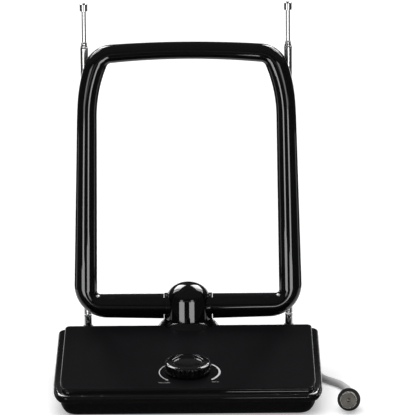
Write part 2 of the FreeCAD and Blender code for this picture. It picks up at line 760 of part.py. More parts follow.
# Rear wall
def make_rear_wall_pieces():
    """Make the power socket and the gland that the aerial lead comes out of."""
    face_y = f"({REAR_Y} - shell_wall)"
    case = block("socket_case", "socket_width", "socket_depth", "socket_width", f"{SOCKET_X} - socket_width / 2",
                 f"{face_y} - socket_depth", "socket_height - socket_width / 2")
    spout = cylinder("socket_spout", "socket_bore_radius + shell_fit", "shell_wall", SOCKET_X, face_y,
                     "socket_height", "back")
    bore = cylinder("socket_bore", "socket_bore_radius", "socket_bore_depth", SOCKET_X,
                    f"{REAR_Y} - socket_bore_depth", "socket_height", "back")
    spigot = cylinder("socket_pin", "socket_pin_radius", "socket_bore_depth - shell_wall", SOCKET_X,
                      f"{REAR_Y} - socket_bore_depth", "socket_height", "back")
    room = cut("socket_room", bore, [spigot])
    node(cut("socket", fuse("socket_outer", [case, spout]), [room]), "dc_socket")

    neck = cylinder("gland_neck", "gland_neck_radius", "shell_wall", "gland_x", face_y, "gland_height", "back")
    flange = cylinder("gland_flange_ring", "gland_flange_radius", "gland_flange", "gland_x", REAR_Y,
                      "gland_height", "back")
    tail = cone("gland_sleeve", "gland_neck_radius", "gland_tail_radius", "gland_tail", "gland_x",
                f"{REAR_Y} + gland_flange", "gland_height", "back")
    passage = cylinder("gland_passage", "cord_diameter / 2", "stock_height", "gland_x",
                       f"{REAR_Y} + gland_flange", "gland_height", "back")
    node(cut("gland", fuse("gland_outer", [neck, flange, tail]), [passage]), "cable_gland")


# Post
def domed(name, radius, foot_z, dome_z):
    """Make an upright cylinder with a half ball on top, on the post's axis."""
    shaft = cylinder(f"{name}_shaft", radius, f"{dome_z} - {foot_z}", "0", POST_Y, foot_z)
    ball = document.addObject("Part::Sphere", f"{name}_ball")
    tie(ball, "Radius", radius)
    ball.Angle1 = 0
    place(ball, "0", POST_Y, dome_z)
    return fuse(name, [shaft, ball])


def make_post():
    """Make the domed hollow post and the two collars that the loop turns in."""
    dome_z = f"({BAR_Z} + dome_rise)"
    inner = "(post_radius - post_wall)"
    outside = domed("post_outside", "post_radius", POST_FOOT_Z, dome_z)
    inside = domed("post_inside", inner, POST_FOOT_Z, dome_z)
    cheek = cylinder("post_cheek", "collar_radius", "collar_inner_x * 2", "0 - collar_inner_x", POST_Y, BAR_Z, "right")
    lugs = []
    holes = []
    for number, x in enumerate(post_screw_places(), start=1):
        lugs.append(cylinder(f"post_lug_{number}", "post_wall", "post_seat + post_wall", x, POST_Y, POST_FOOT_Z))
        holes.append(cylinder(f"post_lug_hole_{number}", "post_screw_radius", "post_seat", x, POST_Y, POST_FOOT_Z))
    holes.append(cylinder("post_bore", "collar_sleeve_radius", "collar_inner_x * 2", "0 - collar_inner_x",
                          POST_Y, BAR_Z, "right"))
    hollow = cut("post_hollow", fuse("post_solid", [outside, cheek]), [inside])
    node(cut("pivot_post", fuse("post_outer", [hollow] + lugs), holes), "pivot_post")

    for side, flange_x, sleeve_x in (
            ("left", f"0 - {COLLAR_OUTER_X}", "0 - collar_inner_x"),
            ("right", "collar_inner_x", "collar_inner_x - collar_sleeve")):
        flange = cylinder(f"collar_flange_{side}", "collar_radius", "collar_thickness", flange_x, POST_Y, BAR_Z, "right")
        sleeve = cylinder(f"collar_sleeve_{side}", "collar_sleeve_radius", "collar_sleeve", sleeve_x, POST_Y, BAR_Z,
                          "right")
        bore = cylinder(f"collar_bore_{side}", "journal_radius + journal_clearance", "stock_height",
                        "0 - stock_height / 2", POST_Y, BAR_Z, "right")
        ring = cut(f"collar_{side}", fuse(f"collar_outer_{side}", [flange, sleeve]), [bore])
        node(ring, f"pivot_collar_{side}")


# Loop
def turn_step(radius, start, end):
    """Give the step along a left-hand arc from one heading to another, in the loop's own plane."""
    first = math.radians(start)
    last = math.radians(end)
    return Vector(radius * (math.sin(last) - math.sin(first)), 0, radius * (math.cos(first) - math.cos(last)))


def heading_step(length, heading):
    """Give the step along a straight run."""
    return Vector(length * math.cos(math.radians(heading)), 0, length * math.sin(math.radians(heading)))


class Outline:
    """Right half of one edge of the loop: bar, foot bend, side, shoulder, corner and top arc."""

    def __init__(self, start, bar_heading, foot_radius, side_x, axis_z, lean, shoulder, corner_radius, top):
        """Work out the runs that bring the edge from the bar's end to the middle of the top."""
        self.bar_heading = bar_heading
        self.foot_radius = foot_radius
        self.lean = 90 + lean
        self.shoulder_radius, shoulder_angle = shoulder
        self.shoulder = 90 + shoulder_angle
        self.corner_radius = corner_radius
        top_slope, top_z = top
        self.top = 180 - top_slope
        bend = turn_step(foot_radius, bar_heading, self.lean)
        slope = math.tan(math.radians(lean))
        reach = heading_step(1, bar_heading)
        gap = side_x - (start.x + bend.x) - slope * (start.z + bend.z - axis_z)
        self.start = start
        self.foot = start + heading_step(gap / (reach.x + slope * reach.z), bar_heading)
        self.side = self.foot + bend
        bends = turn_step(self.shoulder_radius, self.lean, self.shoulder) + turn_step(
            corner_radius, self.shoulder, self.top)
        sag = math.tan(math.radians(top_slope / 2))
        along = heading_step(1, self.lean)
        fixed = self.side + bends
        rise = (top_z - fixed.z - sag * fixed.x) / (along.z + sag * along.x)
        self.side_end = self.side + heading_step(rise, self.lean)
        self.shoulder_end = self.side_end + turn_step(self.shoulder_radius, self.lean, self.shoulder)
        self.corner_end = self.shoulder_end + turn_step(corner_radius, self.shoulder, self.top)
        self.top_radius = self.corner_end.x / math.sin(math.radians(top_slope))
        self.top_z = top_z

    def along_bar(self, share):
        """Give the point at a share of the straight bar."""
        return self.start + (self.foot - self.start) * share

    def round_foot(self, share):
        """Give the point at a share of the bend between bar and side."""
        heading = self.bar_heading + (self.lean - self.bar_heading) * share
        return self.foot + turn_step(self.foot_radius, self.bar_heading, heading)

    def along_side(self, share):
        """Give the point at a share of the straight side."""
        return self.side + (self.side_end - self.side) * share

    def at_heading(self, heading):
        """Give the point of the shoulder or the corner where the edge runs at a heading."""
        if heading <= self.shoulder:
            return self.side_end + turn_step(self.shoulder_radius, self.lean, heading)
        return self.shoulder_end + turn_step(self.corner_radius, self.shoulder, heading)

    def distance_to(self, heading):
        """Give the distance from the end of the straight side to where the edge runs at a heading."""
        bend = math.radians(min(heading, self.shoulder) - self.lean) * self.shoulder_radius
        return bend + math.radians(max(heading - self.shoulder, 0)) * self.corner_radius

    def after(self, distance):
        """Give the point at a distance past the end of the straight side."""
        bend = math.radians(self.shoulder - self.lean) * self.shoulder_radius
        if distance <= bend:
            return self.at_heading(self.lean + math.degrees(distance / self.shoulder_radius))
        return self.at_heading(self.shoulder + math.degrees((distance - bend) / self.corner_radius))

    def heading_facing(self, point, angle):
        """Give the heading of the corner where a ray from a point at an angle meets it."""
        hub = self.shoulder_end + heading_step(self.corner_radius, self.shoulder + 90)
        ray = heading_step(1, angle)
        gap = point - hub
        along = gap.dot(ray)
        far = -along + math.sqrt(along ** 2 - gap.dot(gap) + self.corner_radius ** 2)
        spoke = gap + ray * far
        return math.degrees(math.atan2(spoke.z, spoke.x)) + 90

    def heading_at(self, x):
        """Give the heading of the corner at a distance from the middle."""
        share = math.sin(math.radians(self.shoulder)) - (self.shoulder_end.x - x) / self.corner_radius
        return 180 - math.degrees(math.asin(share))

    def at_x(self, x):
        """Give the point of the top edge at a distance from the middle."""
        if x > self.corner_end.x:
            return self.at_heading(self.heading_at(x))
        drop = self.top_radius - math.sqrt(self.top_radius ** 2 - x ** 2)
        return Vector(x, 0, self.top_z - drop)


def loop_outlines():
    """Give the outer edge of the loop and the edge of its window."""
    axis_z = value(BAR_Z)
    bar_end = value(BAR_END_X)
    top_z = axis_z + value("loop_rise")
    outer = Outline(
        Vector(bar_end, 0, axis_z - value("bar_radius")), value("loop_bar_slope"), value("loop_foot_radius"),
        value("loop_half_width"), axis_z, value("loop_side_lean"),
        (value("loop_shoulder_radius"), value("loop_shoulder_angle")), value("loop_corner_radius"),
        (value("loop_top_slope"), top_z))
    window = Outline(
        Vector(bar_end, 0, axis_z + value("bar_radius")), 0, value("window_foot_radius"),
        value("loop_half_width - loop_bar_width"), axis_z, value("window_side_lean"),
        (value("window_shoulder_radius"), value("window_shoulder_angle")), value("window_corner_radius"),
        (value("window_top_slope"), top_z - value("top_bar_thickness")))
    return outer, window


def loop_runs():
    """Give the runs of sections from the bar's right end round to its left end.

    A section is its inner point, its outer point and its half depth.
    """
    outer, window = loop_outlines()
    facing = outer.heading_facing(window.shoulder_end, window.shoulder - 90)
    meet_x = window.corner_end.x
    outer_meet_x = max(meet_x, outer.corner_end.x)
    outer_end = outer.heading_at(outer_meet_x)
    window_bend = window.distance_to(window.shoulder)
    outer_bend = outer.distance_to(facing)
    bar = [(window.along_bar(0), outer.along_bar(0)), (window.along_bar(1), outer.along_bar(1))]
    foot = [(window.round_foot(step / 8), outer.round_foot(step / 8)) for step in range(9)]
    side = [(window.along_side(0), outer.along_side(0)), (window.along_side(1), outer.along_side(1))]
    shoulder = [(window.after(window_bend * step / 6), outer.after(outer_bend * step / 6)) for step in range(7)]
    corner = []
    for step in range(7):
        inner_heading = window.shoulder + (window.top - window.shoulder) * step / 6
        outer_heading = facing + (outer_end - facing) * step / 6
        corner.append((window.at_heading(inner_heading), outer.at_heading(outer_heading)))
    top = [(window.at_x(meet_x * step / 10), outer.at_x(outer_meet_x * step / 10)) for step in range(10, -1, -1)]

    runs = []
    for run in (bar, foot, side, shoulder, corner, top):
        first = (run[0][1] - run[0][0]).Length / 2
        last = (run[-1][1] - run[-1][0]).Length / 2
        steps = len(run) - 1
        runs.append([(inner, rim, first + (last - first) * number / steps)
                     for number, (inner, rim) in enumerate(run)])
    lid = runs.pop()
    left = [[mirrored(section) for section in reversed(run)] for run in reversed(runs)]
    return runs + [lid + [mirrored(section) for section in reversed(lid[:-1])]] + left


def lofted(runs, section_wire):
    """Make one solid from runs of sections, each run a smooth surface of its own."""
    faces = []
    for run in runs:
        faces += Part.makeLoft([section_wire(*section) for section in run], False, False).Faces
    faces.append(Part.Face(section_wire(*runs[0][0])))
    faces.append(Part.Face(section_wire(*runs[-1][-1])))
    skin = Part.makeShell(faces)
    skin.sewShape()
    solid = Part.makeSolid(skin)
    if solid.Volume < 0:
        solid.reverse()
    return solid


def bent_arc(centre, across, depth):
    """Give the half ellipse about a centre that spans an in-plane vector and reaches a depth."""
    arc = Part.ArcOfCircle(Part.Circle(Vector(0, 0, 0), Vector(0, 0, 1), 1), 0, math.pi).toBSpline()
    for number, pole in enumerate(arc.getPoles(), start=1):
        arc.setPole(number, centre + across * pole.x + depth * pole.y)
    return arc.toShape()


def shell_section(inner, rim, half):
    """Give the front half of the loop's section with the groove for the element, as a closed wire."""
    centre = (inner + rim) * 0.5
    across = (rim - inner) * 0.5
    groove = value("element_radius") + value("element_clearance")
    small = across * (groove / across.Length)
    outside = bent_arc(centre, across, Vector(0, -half, 0))
    inside = bent_arc(centre, small, Vector(0, -groove, 0))
    first = Part.LineSegment(centre + across, centre + small).toShape()
    last = Part.LineSegment(centre - small, centre - across).toShape()
    return Part.Wire([outside, last, inside, first])


def mirrored(section):
    """Give a section's twin on the left of the loop."""
    inner, rim, half = section
    return Vector(-inner.x, 0, inner.z), Vector(-rim.x, 0, rim.z), half


def journal(sign):
    """Give the front half of the loop's stub that turns in one collar."""
    axis = Vector(sign, 0, 0)
    start = axis * value(BAR_END_X) + Vector(0, 0, value(BAR_Z))
    length = value("journal_length")
    groove = value("element_radius") + value("element_clearance")
    round_stub = Part.makeCylinder(value("journal_radius"), length, start, -axis)
    hole = Part.makeCylinder(groove, length, start, -axis)
    reach = value("journal_radius") * 2
    half_space = Part.makeBox(length * 3, reach, reach * 2, start + Vector(-length * 1.5, -reach, -reach))
    return round_stub.cut(hole).common(half_space)


def element_line(runs):
    """Give the smooth line along the middle of the sections, from one stub's end to the other's."""
    points = []
    for run in runs:
        middles = [(inner + rim) * 0.5 for inner, rim, half in run]
        if len(middles) == 2:
            middles = [middles[0] + (middles[1] - middles[0]) * (step / 6) for step in range(7)]
        points += middles if not points else middles[1:]
    inward = Vector(value("journal_length") / 2, 0, 0)
    points = [points[0] - inward * 2, points[0] - inward] + points + [points[-1] + inward, points[-1] + inward * 2]
    line = Part.BSplineCurve()
    line.interpolate(points)
    return line


def make_loop():
    """Make the loop's two moulded halves and the metal element between them."""
    runs = loop_runs()
    front = lofted(runs, shell_section)
    for sign in (-1, 1):
        front = front.fuse(journal(sign))
    line = element_line(runs)
    ring = Part.Circle(line.StartPoint, Vector(1, 0, 0), value("element_radius"))
    element = Part.Wire(line.toShape()).makePipeShell([Part.Wire(ring.toShape())], True, False)
    rear = front.mirror(Vector(0, 0, 0), Vector(0, 1, 0))
    for label, shape in (("loop_front_shell", front), ("loop_rear_shell", rear), ("loop_element", element)):
        piece = document.addObject("Part::Feature", label)
        piece.Shape = shape
        piece.Placement = FreeCAD.Placement(Vector(0, value(POST_Y), 0), FreeCAD.Rotation())
        node(piece, label)


# Rods
def tube_radius(number):
    """Give the outer radius formula of a tube, counted from the lowest."""
    return f"(tube_radius - {number} * (tube_wall + tube_clearance))"


def make_tube(name, number, side, x, foot_z, top_z):
    """Make one hollow section of a rod, with its upper lip turned in over a small round."""
    radius = tube_radius(number)
    inner = f"({radius} - tube_wall)"
    body = new_body(f"{name}_{side}")
    profile = [
        (inner, foot_z, LINE),
        (radius, foot_z, LINE),
        (radius, f"{top_z} - tube_wall", LINE),
        (f"{radius} - tube_wall / 2", top_z, LINE),
        (inner, top_z, LINE),
    ]
    revolve(body, f"{name}_turned_{side}", sketch(body, f"{name}_profile_{side}", "XZ_Plane", profile))
    return place(body, x, ROD_Y, "0")


def make_rod(side, x):
    """Make one rod: turret, screw, pin, three tubes and the tip with its cap."""
    deck = "rear_deck_height"
    ring_z = f"({deck} + turret_drum_height)"
    fork_z = f"({ring_z} + turret_ring_height)"
    stem = cylinder(f"turret_stem_{side}", "turret_stem_radius", "shell_wall", x, ROD_Y, f"{deck} - shell_wall")
    drum = cylinder(f"turret_drum_{side}", "turret_drum_radius", "turret_drum_height", x, ROD_Y, deck)
    ring = cylinder(f"turret_ring_{side}", "turret_ring_radius", "turret_ring_height", x, ROD_Y, ring_z)
    arm = cylinder(f"fork_arm_{side}", "fork_radius", f"{PIN_Z} + fork_end_radius - {fork_z}", x, ROD_Y, fork_z)
    eye = cylinder(f"fork_eye_{side}", "fork_end_radius", "fork_radius * 2", f"{x} - fork_radius", ROD_Y, PIN_Z, "right")
    foot = block(f"fork_foot_{side}", "fork_radius * 2", "fork_radius * 2", f"{PIN_Z} - {fork_z}",
                 f"{x} - fork_radius", f"{ROD_Y} - fork_radius", fork_z)
    arms = document.addObject("Part::Common", f"fork_arms_{side}")
    arms.Base = arm
    arms.Tool = fuse(f"fork_envelope_{side}", [eye, foot])
    slot_z = f"({PIN_Z} - tongue_end_radius - fork_slot_clearance)"
    slot = block(f"fork_gap_{side}", "fork_slot", "fork_radius * 4", "stock_height",
                 f"{x} - fork_slot / 2", f"{ROD_Y} - fork_radius * 2", slot_z)
    pin_hole = cylinder(f"fork_pin_hole_{side}", "pin_radius", "fork_radius * 4", f"{x} - fork_radius * 2",
                        ROD_Y, PIN_Z, "right")
    screw_hole = cylinder(f"turret_screw_hole_{side}", "rod_screw_radius", "rod_screw_bite", x, ROD_Y,
                          f"{deck} - shell_wall")
    turret = cut(f"turret_{side}", fuse(f"turret_outer_{side}", [stem, drum, ring, arms]), [slot, pin_hole, screw_hole])
    node(turret, f"rod_turret_{side}")

    head_z = f"({deck} - shell_wall - rod_screw_head_height)"
    head = cylinder(f"rod_screw_head_{side}", "rod_screw_head_radius", "rod_screw_head_height", x, ROD_Y, head_z)
    shank = cylinder(f"rod_screw_shank_{side}", "rod_screw_radius", "rod_screw_bite", x, ROD_Y, f"{deck} - shell_wall")
    node(fuse(f"rod_screw_{side}", [head, shank]), f"rod_screw_{side}")

    reach = "(fork_radius * 0.85)"
    pin = cylinder(f"rod_pin_{side}", "pin_radius", f"{reach} * 2", f"{x} - {reach}", ROD_Y, PIN_Z, "right")
    node(pin, f"rod_pin_{side}")

    tube = make_tube("rod_lower_sleeve", 0, side, x, f"{TUBE_FOOT_Z} + tube_plug", TUBE_TOP_Z)
    plug = cylinder(f"rod_plug_{side}", "tube_radius", "tube_plug", x, ROD_Y, TUBE_FOOT_Z)
    thickness = "(fork_slot - tongue_clearance * 2)"
    blade = block(f"tongue_blade_{side}", thickness, "tongue_end_radius * 2", f"{TUBE_FOOT_Z} - {PIN_Z}",
                  f"{x} - {thickness} / 2", f"{ROD_Y} - tongue_end_radius", PIN_Z)
    end = cylinder(f"tongue_end_{side}", "tongue_end_radius", thickness, f"{x} - {thickness} / 2", ROD_Y, PIN_Z, "right")
    hole = cylinder(f"tongue_hole_{side}", "pin_radius + pin_clearance", "fork_radius * 4",
                    f"{x} - fork_radius * 2", ROD_Y, PIN_Z, "right")
    lower = cut(f"rod_lower_{side}", fuse(f"rod_lower_outer_{side}", [tube, plug, blade, end]), [hole])
    node(lower, f"rod_lower_tube_{side}")

    plug_top = f"({TUBE_FOOT_Z} + tube_plug)"
    middle = make_tube("rod_middle_tube", 1, side, x, f"{plug_top} + tube_end_gap", f"{TUBE_TOP_Z} + tube_step")
    node(middle, f"rod_middle_tube_{side}")
    upper_top = f"({TUBE_TOP_Z} + tube_step * 2)"
    upper = make_tube("rod_upper_tube", 2, side, x, f"{plug_top} + tube_end_gap * 2", upper_top)
    node(upper, f"rod_upper_tube_{side}")

    tip = new_body(f"rod_tip_{side}")
    radius = tube_radius(3)
    tail_z = f"({plug_top} + tip_tail_gap)"
    cap_z = f"({upper_top} + tip_out)"
    profile = [
        ("0", tail_z, LINE),
        (radius, tail_z, LINE),
        (radius, cap_z, LINE),
        ("cap_radius", cap_z, LINE),
        ("cap_radius", f"{cap_z} + cap_height - cap_round", ARC_IN),
        ("cap_radius - cap_round", f"{cap_z} + cap_height", LINE),
        ("0", f"{cap_z} + cap_height", LINE),
    ]
    revolve(tip, f"rod_tip_turned_{side}", sketch(tip, f"rod_tip_profile_{side}", "XZ_Plane", profile))
    node(place(tip, x, ROD_Y, "0"), f"rod_tip_{side}")


# Aerial lead
def lead_in_points():
    """Give the hand-chosen route from the gland down to the coil."""
    return [
        Vector(3.0, 79.95, 13.0),
        Vector(3.0, 86.0, 12.6),
        Vector(3.6, 93.5, 10.4),
        Vector(4.4, 101.5, 7.6),
        Vector(3.0, 110.0, 6.75),
    ]


def lead_out_points():
    """Give the hand-chosen route from the coil round the casing to the plug."""
    return [
        Vector(-23.0, 73.5, 2.25),
        Vector(-4.0, 73.4, 2.25),
        Vector(18.0, 74.2, 2.25),
        Vector(42.0, 73.8, 2.25),
        Vector(62.0, 70.0, 2.25),
        Vector(74.6, 58.5, 2.25),
        Vector(77.4, 44.0, 2.25),
        Vector(77.8, 29.0, 2.25),
        Vector(81.5, 17.0, 2.25),
        Vector(89.5, 6.5, 2.25),
        Vector(93.6, -7.0, 2.25),
        Vector(94.0, -19.0, 2.25),
        Vector(93.75, -28.0, 2.55),
        Vector(93.58, -35.42, 3.35),
    ]


def cord_tube(name, points):
    """Sweep the lead along straight runs joined by tangent arcs, and report its radii and volume."""
    edges = []
    radii = []
    length = 0.0
    last = points[0]
    for before, corner, after in zip(points, points[1:], points[2:]):
        back = (before - corner).normalize()
        ahead = (after - corner).normalize()
        turn = math.pi - back.getAngle(ahead)
        shorter = min((before - corner).Length, (after - corner).Length)
        setback = 0.45 * shorter
        radius = setback / math.tan(turn / 2)
        enter = corner + back * setback
        leave = corner + ahead * setback
        inward = (back + ahead).normalize()
        middle = corner + inward * (radius / math.cos(turn / 2) - radius)
        edges.append(Part.LineSegment(last, enter).toShape())
        edges.append(Part.Arc(enter, middle, leave).toShape())
        length += (enter - last).Length + radius * turn
        radii.append(round(radius, 1))
        last = leave
    edges.append(Part.LineSegment(last, points[-1]).toShape())
    length += (points[-1] - last).Length
    path = Part.Wire(edges)
    radius = value("cord_diameter") / 2
    ring = Part.Wire(Part.Circle(points[0], points[1] - points[0], radius).toShape())
    tube = path.makePipeShell([ring], True, False)
    expected = math.pi * radius ** 2 * length
    print(f"{name}: length {length:.1f}, radii {radii}, volume {tube.Volume:.0f} of {expected:.0f}")
    piece = document.addObject("Part::Feature", name)
    piece.Shape = tube
    return node(piece, name)


def make_lead():
    """Make the lead's two free stretches, the outer shape of its coil, and its plug."""
    cord_tube("lead_to_coil", lead_in_points())
    cord_tube("lead_to_plug", lead_out_points())
    half_band = "(cord_diameter * coil_turns_across / 2)"
    height = "cord_diameter * coil_layers"
    ring = cylinder("coil_ring", f"coil_mean_radius + {half_band}", height, "coil_x", "coil_y", "0")
    eye = cylinder("coil_eye", f"coil_mean_radius - {half_band}", height, "coil_x", "coil_y", "0")
    node(cut("lead_coil", ring, [eye]), "lead_coil")

    seat = FreeCAD.Placement(
        Vector(value("plug_x"), value("plug_y"), value("plug_height")),
        FreeCAD.Rotation(Vector(0, 0, 1), -value("plug_turn")).multiply(
            FreeCAD.Rotation(Vector(1, 0, 0), 90 - value("plug_tilt"))))
    for label, shape in plug_shapes():
        piece = document.addObject("Part::Feature", label)
        piece.Shape = shape
        piece.Placement = seat
        node(piece, label)


def plug_shapes():
    """Give the plug's pieces along their own axis, which points out of the plug."""
    out = Vector(0, 0, 1)
    ring = value("plug_ring_radius")
    tail_radius = value("plug_tail_radius")
    lip = value("plug_ring")
    tail = value("plug_tail")
    barrel = value("plug_barrel_radius")
    wall = value("plug_barrel_wall")
    root = value("plug_barrel_root")
    length = value("plug_barrel_length")
    recess = value("plug_core_recess")
    pin = value("plug_pin_radius")
    body = Part.makeCylinder(ring, lip, out * -lip, out)
    body = body.fuse(Part.makeCone(tail_radius, value("plug_grip_radius"), tail, out * -(lip + tail), out))
    body = body.cut(Part.makeCylinder(barrel - wall / 2, root, out * -root, out)).removeSplitter()
    shield = Part.makeCylinder(barrel, length, Vector(0, 0, 0), out)
    shield = shield.fuse(Part.makeCylinder(barrel - wall / 2, root, out * -root, out))
    shield = shield.cut(Part.makeCylinder(barrel - wall, length + root, out * -root, out))
    core = Part.makeCylinder(barrel - wall, length + root - recess, out * -root, out)
    core = core.cut(Part.makeCylinder(pin, length + root, out * -root, out))
    tip = Part.makeSphere(pin, out * (value("plug_pin_length") - pin))
    stem = Part.makeCylinder(pin, value("plug_pin_length") - pin + root, out * -root, out).fuse(tip)
    return [("plug_body", body), ("plug_shield", shield), ("plug_insulator", core), ("plug_pin", stem)]


def check_and_write():
    """Stop if any object failed, then write each piece to a file of its own."""
    document.recompute()
    for thing in document.Objects:
        if "Invalid" in thing.State or "Error" in thing.State:
            raise RuntimeError(f"{thing.Name} failed: {thing.State}")
    for thing in nodes:
        if thing.Shape.isNull() or not thing.Shape.isValid():
            raise RuntimeError(f"{thing.Label} has no valid shape")
    os.makedirs("parts", exist_ok=True)
    for thing in nodes:
        thing.Shape.exportStep(f"parts/{thing.Label}.step")


fill_sheet()
make_upper_shell()
make_base_tray()
make_fixings()
make_gain_control()
make_rear_wall_pieces()
make_post()
make_loop()
make_rod("left", f"(0 - {ROD_X})")
make_rod("right", ROD_X)
make_lead()
check_and_write()
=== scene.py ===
"""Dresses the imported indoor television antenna: finishes, aerial lead, loop, knob, print and fittings."""
import logging
import math
from dataclasses import dataclass
from enum import Enum
from typing import Any, Sequence, Union

import bmesh
import bpy
from mathutils import Matrix, Vector


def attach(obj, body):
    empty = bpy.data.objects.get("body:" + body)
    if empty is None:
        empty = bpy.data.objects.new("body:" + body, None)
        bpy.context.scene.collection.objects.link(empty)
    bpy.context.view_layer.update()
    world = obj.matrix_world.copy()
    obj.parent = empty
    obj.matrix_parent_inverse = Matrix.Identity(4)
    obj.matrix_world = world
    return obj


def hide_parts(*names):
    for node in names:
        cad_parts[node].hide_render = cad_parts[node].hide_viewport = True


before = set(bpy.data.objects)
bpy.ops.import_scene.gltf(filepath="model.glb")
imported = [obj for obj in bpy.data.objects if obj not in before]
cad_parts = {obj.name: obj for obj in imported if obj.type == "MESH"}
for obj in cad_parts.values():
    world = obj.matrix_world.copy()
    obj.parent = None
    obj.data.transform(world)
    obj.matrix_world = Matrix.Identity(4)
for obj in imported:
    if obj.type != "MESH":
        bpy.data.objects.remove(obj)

LOG = logging.getLogger("antenna")
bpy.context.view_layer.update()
MM = 0.001
Number = Union[int, float]
Pair = tuple[float, float]
Triple = tuple[float, float, float]
Edges = list[bmesh.types.BMEdge]

# Places that the casing, the loop and the rods share, in millimetres
PANEL_ANGLE = math.radians(9.0)
PANEL_FRONT = Vector((0.0, -60.85, 15.6))
PANEL_LENGTH = 102.0
ALONG_PANEL = Vector((0.0, math.cos(PANEL_ANGLE), math.sin(PANEL_ANGLE)))
OFF_PANEL = Vector((0.0, -math.sin(PANEL_ANGLE), math.cos(PANEL_ANGLE)))
KNOB_ALONG = 25.4
KNOB_SEAT = PANEL_FRONT + ALONG_PANEL * KNOB_ALONG
POST_SETBACK = 6.5
POST_Y = PANEL_FRONT.y + PANEL_LENGTH * math.cos(PANEL_ANGLE) + POST_SETBACK
BAR_RISE = 10.3
BAR_Z = PANEL_FRONT.z + PANEL_LENGTH * math.sin(PANEL_ANGLE) + BAR_RISE
ROD_SETBACK = 10.0
ROD_Y = POST_Y + ROD_SETBACK
ROD_X = 61.0
DECK_Z = 25.0
PIN_RISE = 7.6
PIN_Z = DECK_Z + PIN_RISE
TUBE_FOOT_GAP = 2.7
SIDES = ("left", "right")

# Values that the meshes and the lights share
ORIGIN = (0.0, 0.0, 0.0)
UPRIGHT = (0.0, 0.0, 1.0)
WELD = 1e-4
ON_LINE = 1e-5
SHARP_ANGLE = math.radians(38.0)
RIDGE_STEPS = 8
GROOVE_POWER = 3
WHITE_LIGHT = (1.0, 1.0, 1.0, 1.0)


class Signal:
    """A shader socket with arithmetic that adds Math nodes."""

    def __init__(self, graph: "Graph", socket: bpy.types.NodeSocket) -> None:
        """Keep the socket and the graph that it belongs to."""
        self.graph = graph
        self.socket = socket

    def _math(self, operation: str, first: Any, second: Any, clamp: bool = False) -> "Signal":
        """Add one Math node.

        Args:
            operation: The node's operation.
            first: Signal or number for the first input.
            second: Signal or number for the second input.
            clamp: Whether the result is held between 0 and 1.

        Returns:
            The node's result.
        """
        settings = {"operation": operation, "use_clamp": clamp}
        return self.graph.add("ShaderNodeMath", settings, {0: first, 1: second}).signal("Value")

    def __add__(self, other: Any) -> "Signal":
        """Add a signal or a number."""
        return self._math("ADD", self, other)

    __radd__ = __add__

    def __sub__(self, other: Any) -> "Signal":
        """Take a signal or a number away."""
        return self._math("SUBTRACT", self, other)

    def __rsub__(self, other: Number) -> "Signal":
        """Take this signal away from a number."""
        return self._math("SUBTRACT", other, self)

    def __mul__(self, other: Any) -> "Signal":
        """Multiply by a signal or a number."""
        return self._math("MULTIPLY", self, other)

    __rmul__ = __mul__

    def __truediv__(self, other: Any) -> "Signal":
        """Divide by a signal or a number."""
        return self._math("DIVIDE", self, other)

    def above(self, level: Number) -> "Signal":
        """Give 1 where the signal is above a level, and 0 elsewhere."""
        return self._math("GREATER_THAN", self, level)

    def clamped(self) -> "Signal":
        """Hold the signal between 0 and 1."""
        return self._math("ADD", self, 0.0, clamp=True)


class Made:
    """A node that a graph has just made."""

    def __init__(self, graph: "Graph", node: bpy.types.Node) -> None:
        """Keep the node."""
        self.graph = graph
        self.node = node

    def signal(self, name: Union[str, int]) -> Signal:
        """Give one of the node's outputs."""
        return Signal(self.graph, self.node.outputs[name])


class Graph:
    """The node tree of one material."""

    def __init__(self, tree: bpy.types.NodeTree) -> None:
        """Start from an empty tree."""
        self.tree = tree
        tree.nodes.clear()

    def add(self, kind: str, settings: dict[str, Any], inputs: dict[Union[str, int], Any]) -> Made:
        """Make a node, set it up, then set or link its inputs.

        Args:
            kind: The node's type.
            settings: Properties of the node.
            inputs: Values or signals by socket.

        Returns:
            The node.
        """
        node = self.tree.nodes.new(kind)
        for name, setting in settings.items():
            setattr(node, name, setting)
        for name, given in inputs.items():
            if isinstance(given, Signal):
                self.tree.links.new(given.socket, node.inputs[name])
            else:
                node.inputs[name].default_value = given
        return Made(self, node)

    def coordinates(self, scale: Triple = (1.0, 1.0, 1.0)) -> Signal:
        """Give the piece's own coordinates, stretched along each axis."""
        place = self.add("ShaderNodeTexCoord", {}, {}).signal("Object")
        return self.add("ShaderNodeMapping", {}, {"Vector": place, "Scale": scale}).signal("Vector")

    def noise(self, place: Signal, scale: float, detail: float = 3.0, roughness: float = 0.5) -> Signal:
        """Give a cloud pattern between 0 and 1."""
        inputs = {"Vector": place, "Scale": scale, "Detail": detail, "Roughness": roughness}
        return self.add("ShaderNodeTexNoise", {}, inputs).signal(0)

    def tint(self, share: Signal, dark: Triple, light: Triple) -> Signal:
        """Blend two colours by a share."""
        inputs = {0: share, 6: (*dark, 1.0), 7: (*light, 1.0)}
        return self.add("ShaderNodeMix", {"data_type": "RGBA"}, inputs).signal(2)

    def bump(self, height: Signal, depth: float) -> Signal:
        """Give a surface direction from a height pattern and its depth in metres."""
        inputs = {"Height": height, "Distance": depth, "Strength": 1.0}
        return self.add("ShaderNodeBump", {}, inputs).signal("Normal")

    def surface(self, inputs: dict[str, Any]) -> None:
        """Close the graph with a principled shader."""
        shader = self.add("ShaderNodeBsdfPrincipled", {}, inputs).signal("BSDF")
        self.add("ShaderNodeOutputMaterial", {}, {"Surface": shader})


def node_material(name: str) -> tuple[bpy.types.Material, Graph]:
    """Make a material with an empty graph.

    Args:
        name: The material's name.

    Returns:
        The material and its graph.
    """
    made = bpy.data.materials.new(name)
    made.use_nodes = True
    return made, Graph(made.node_tree)


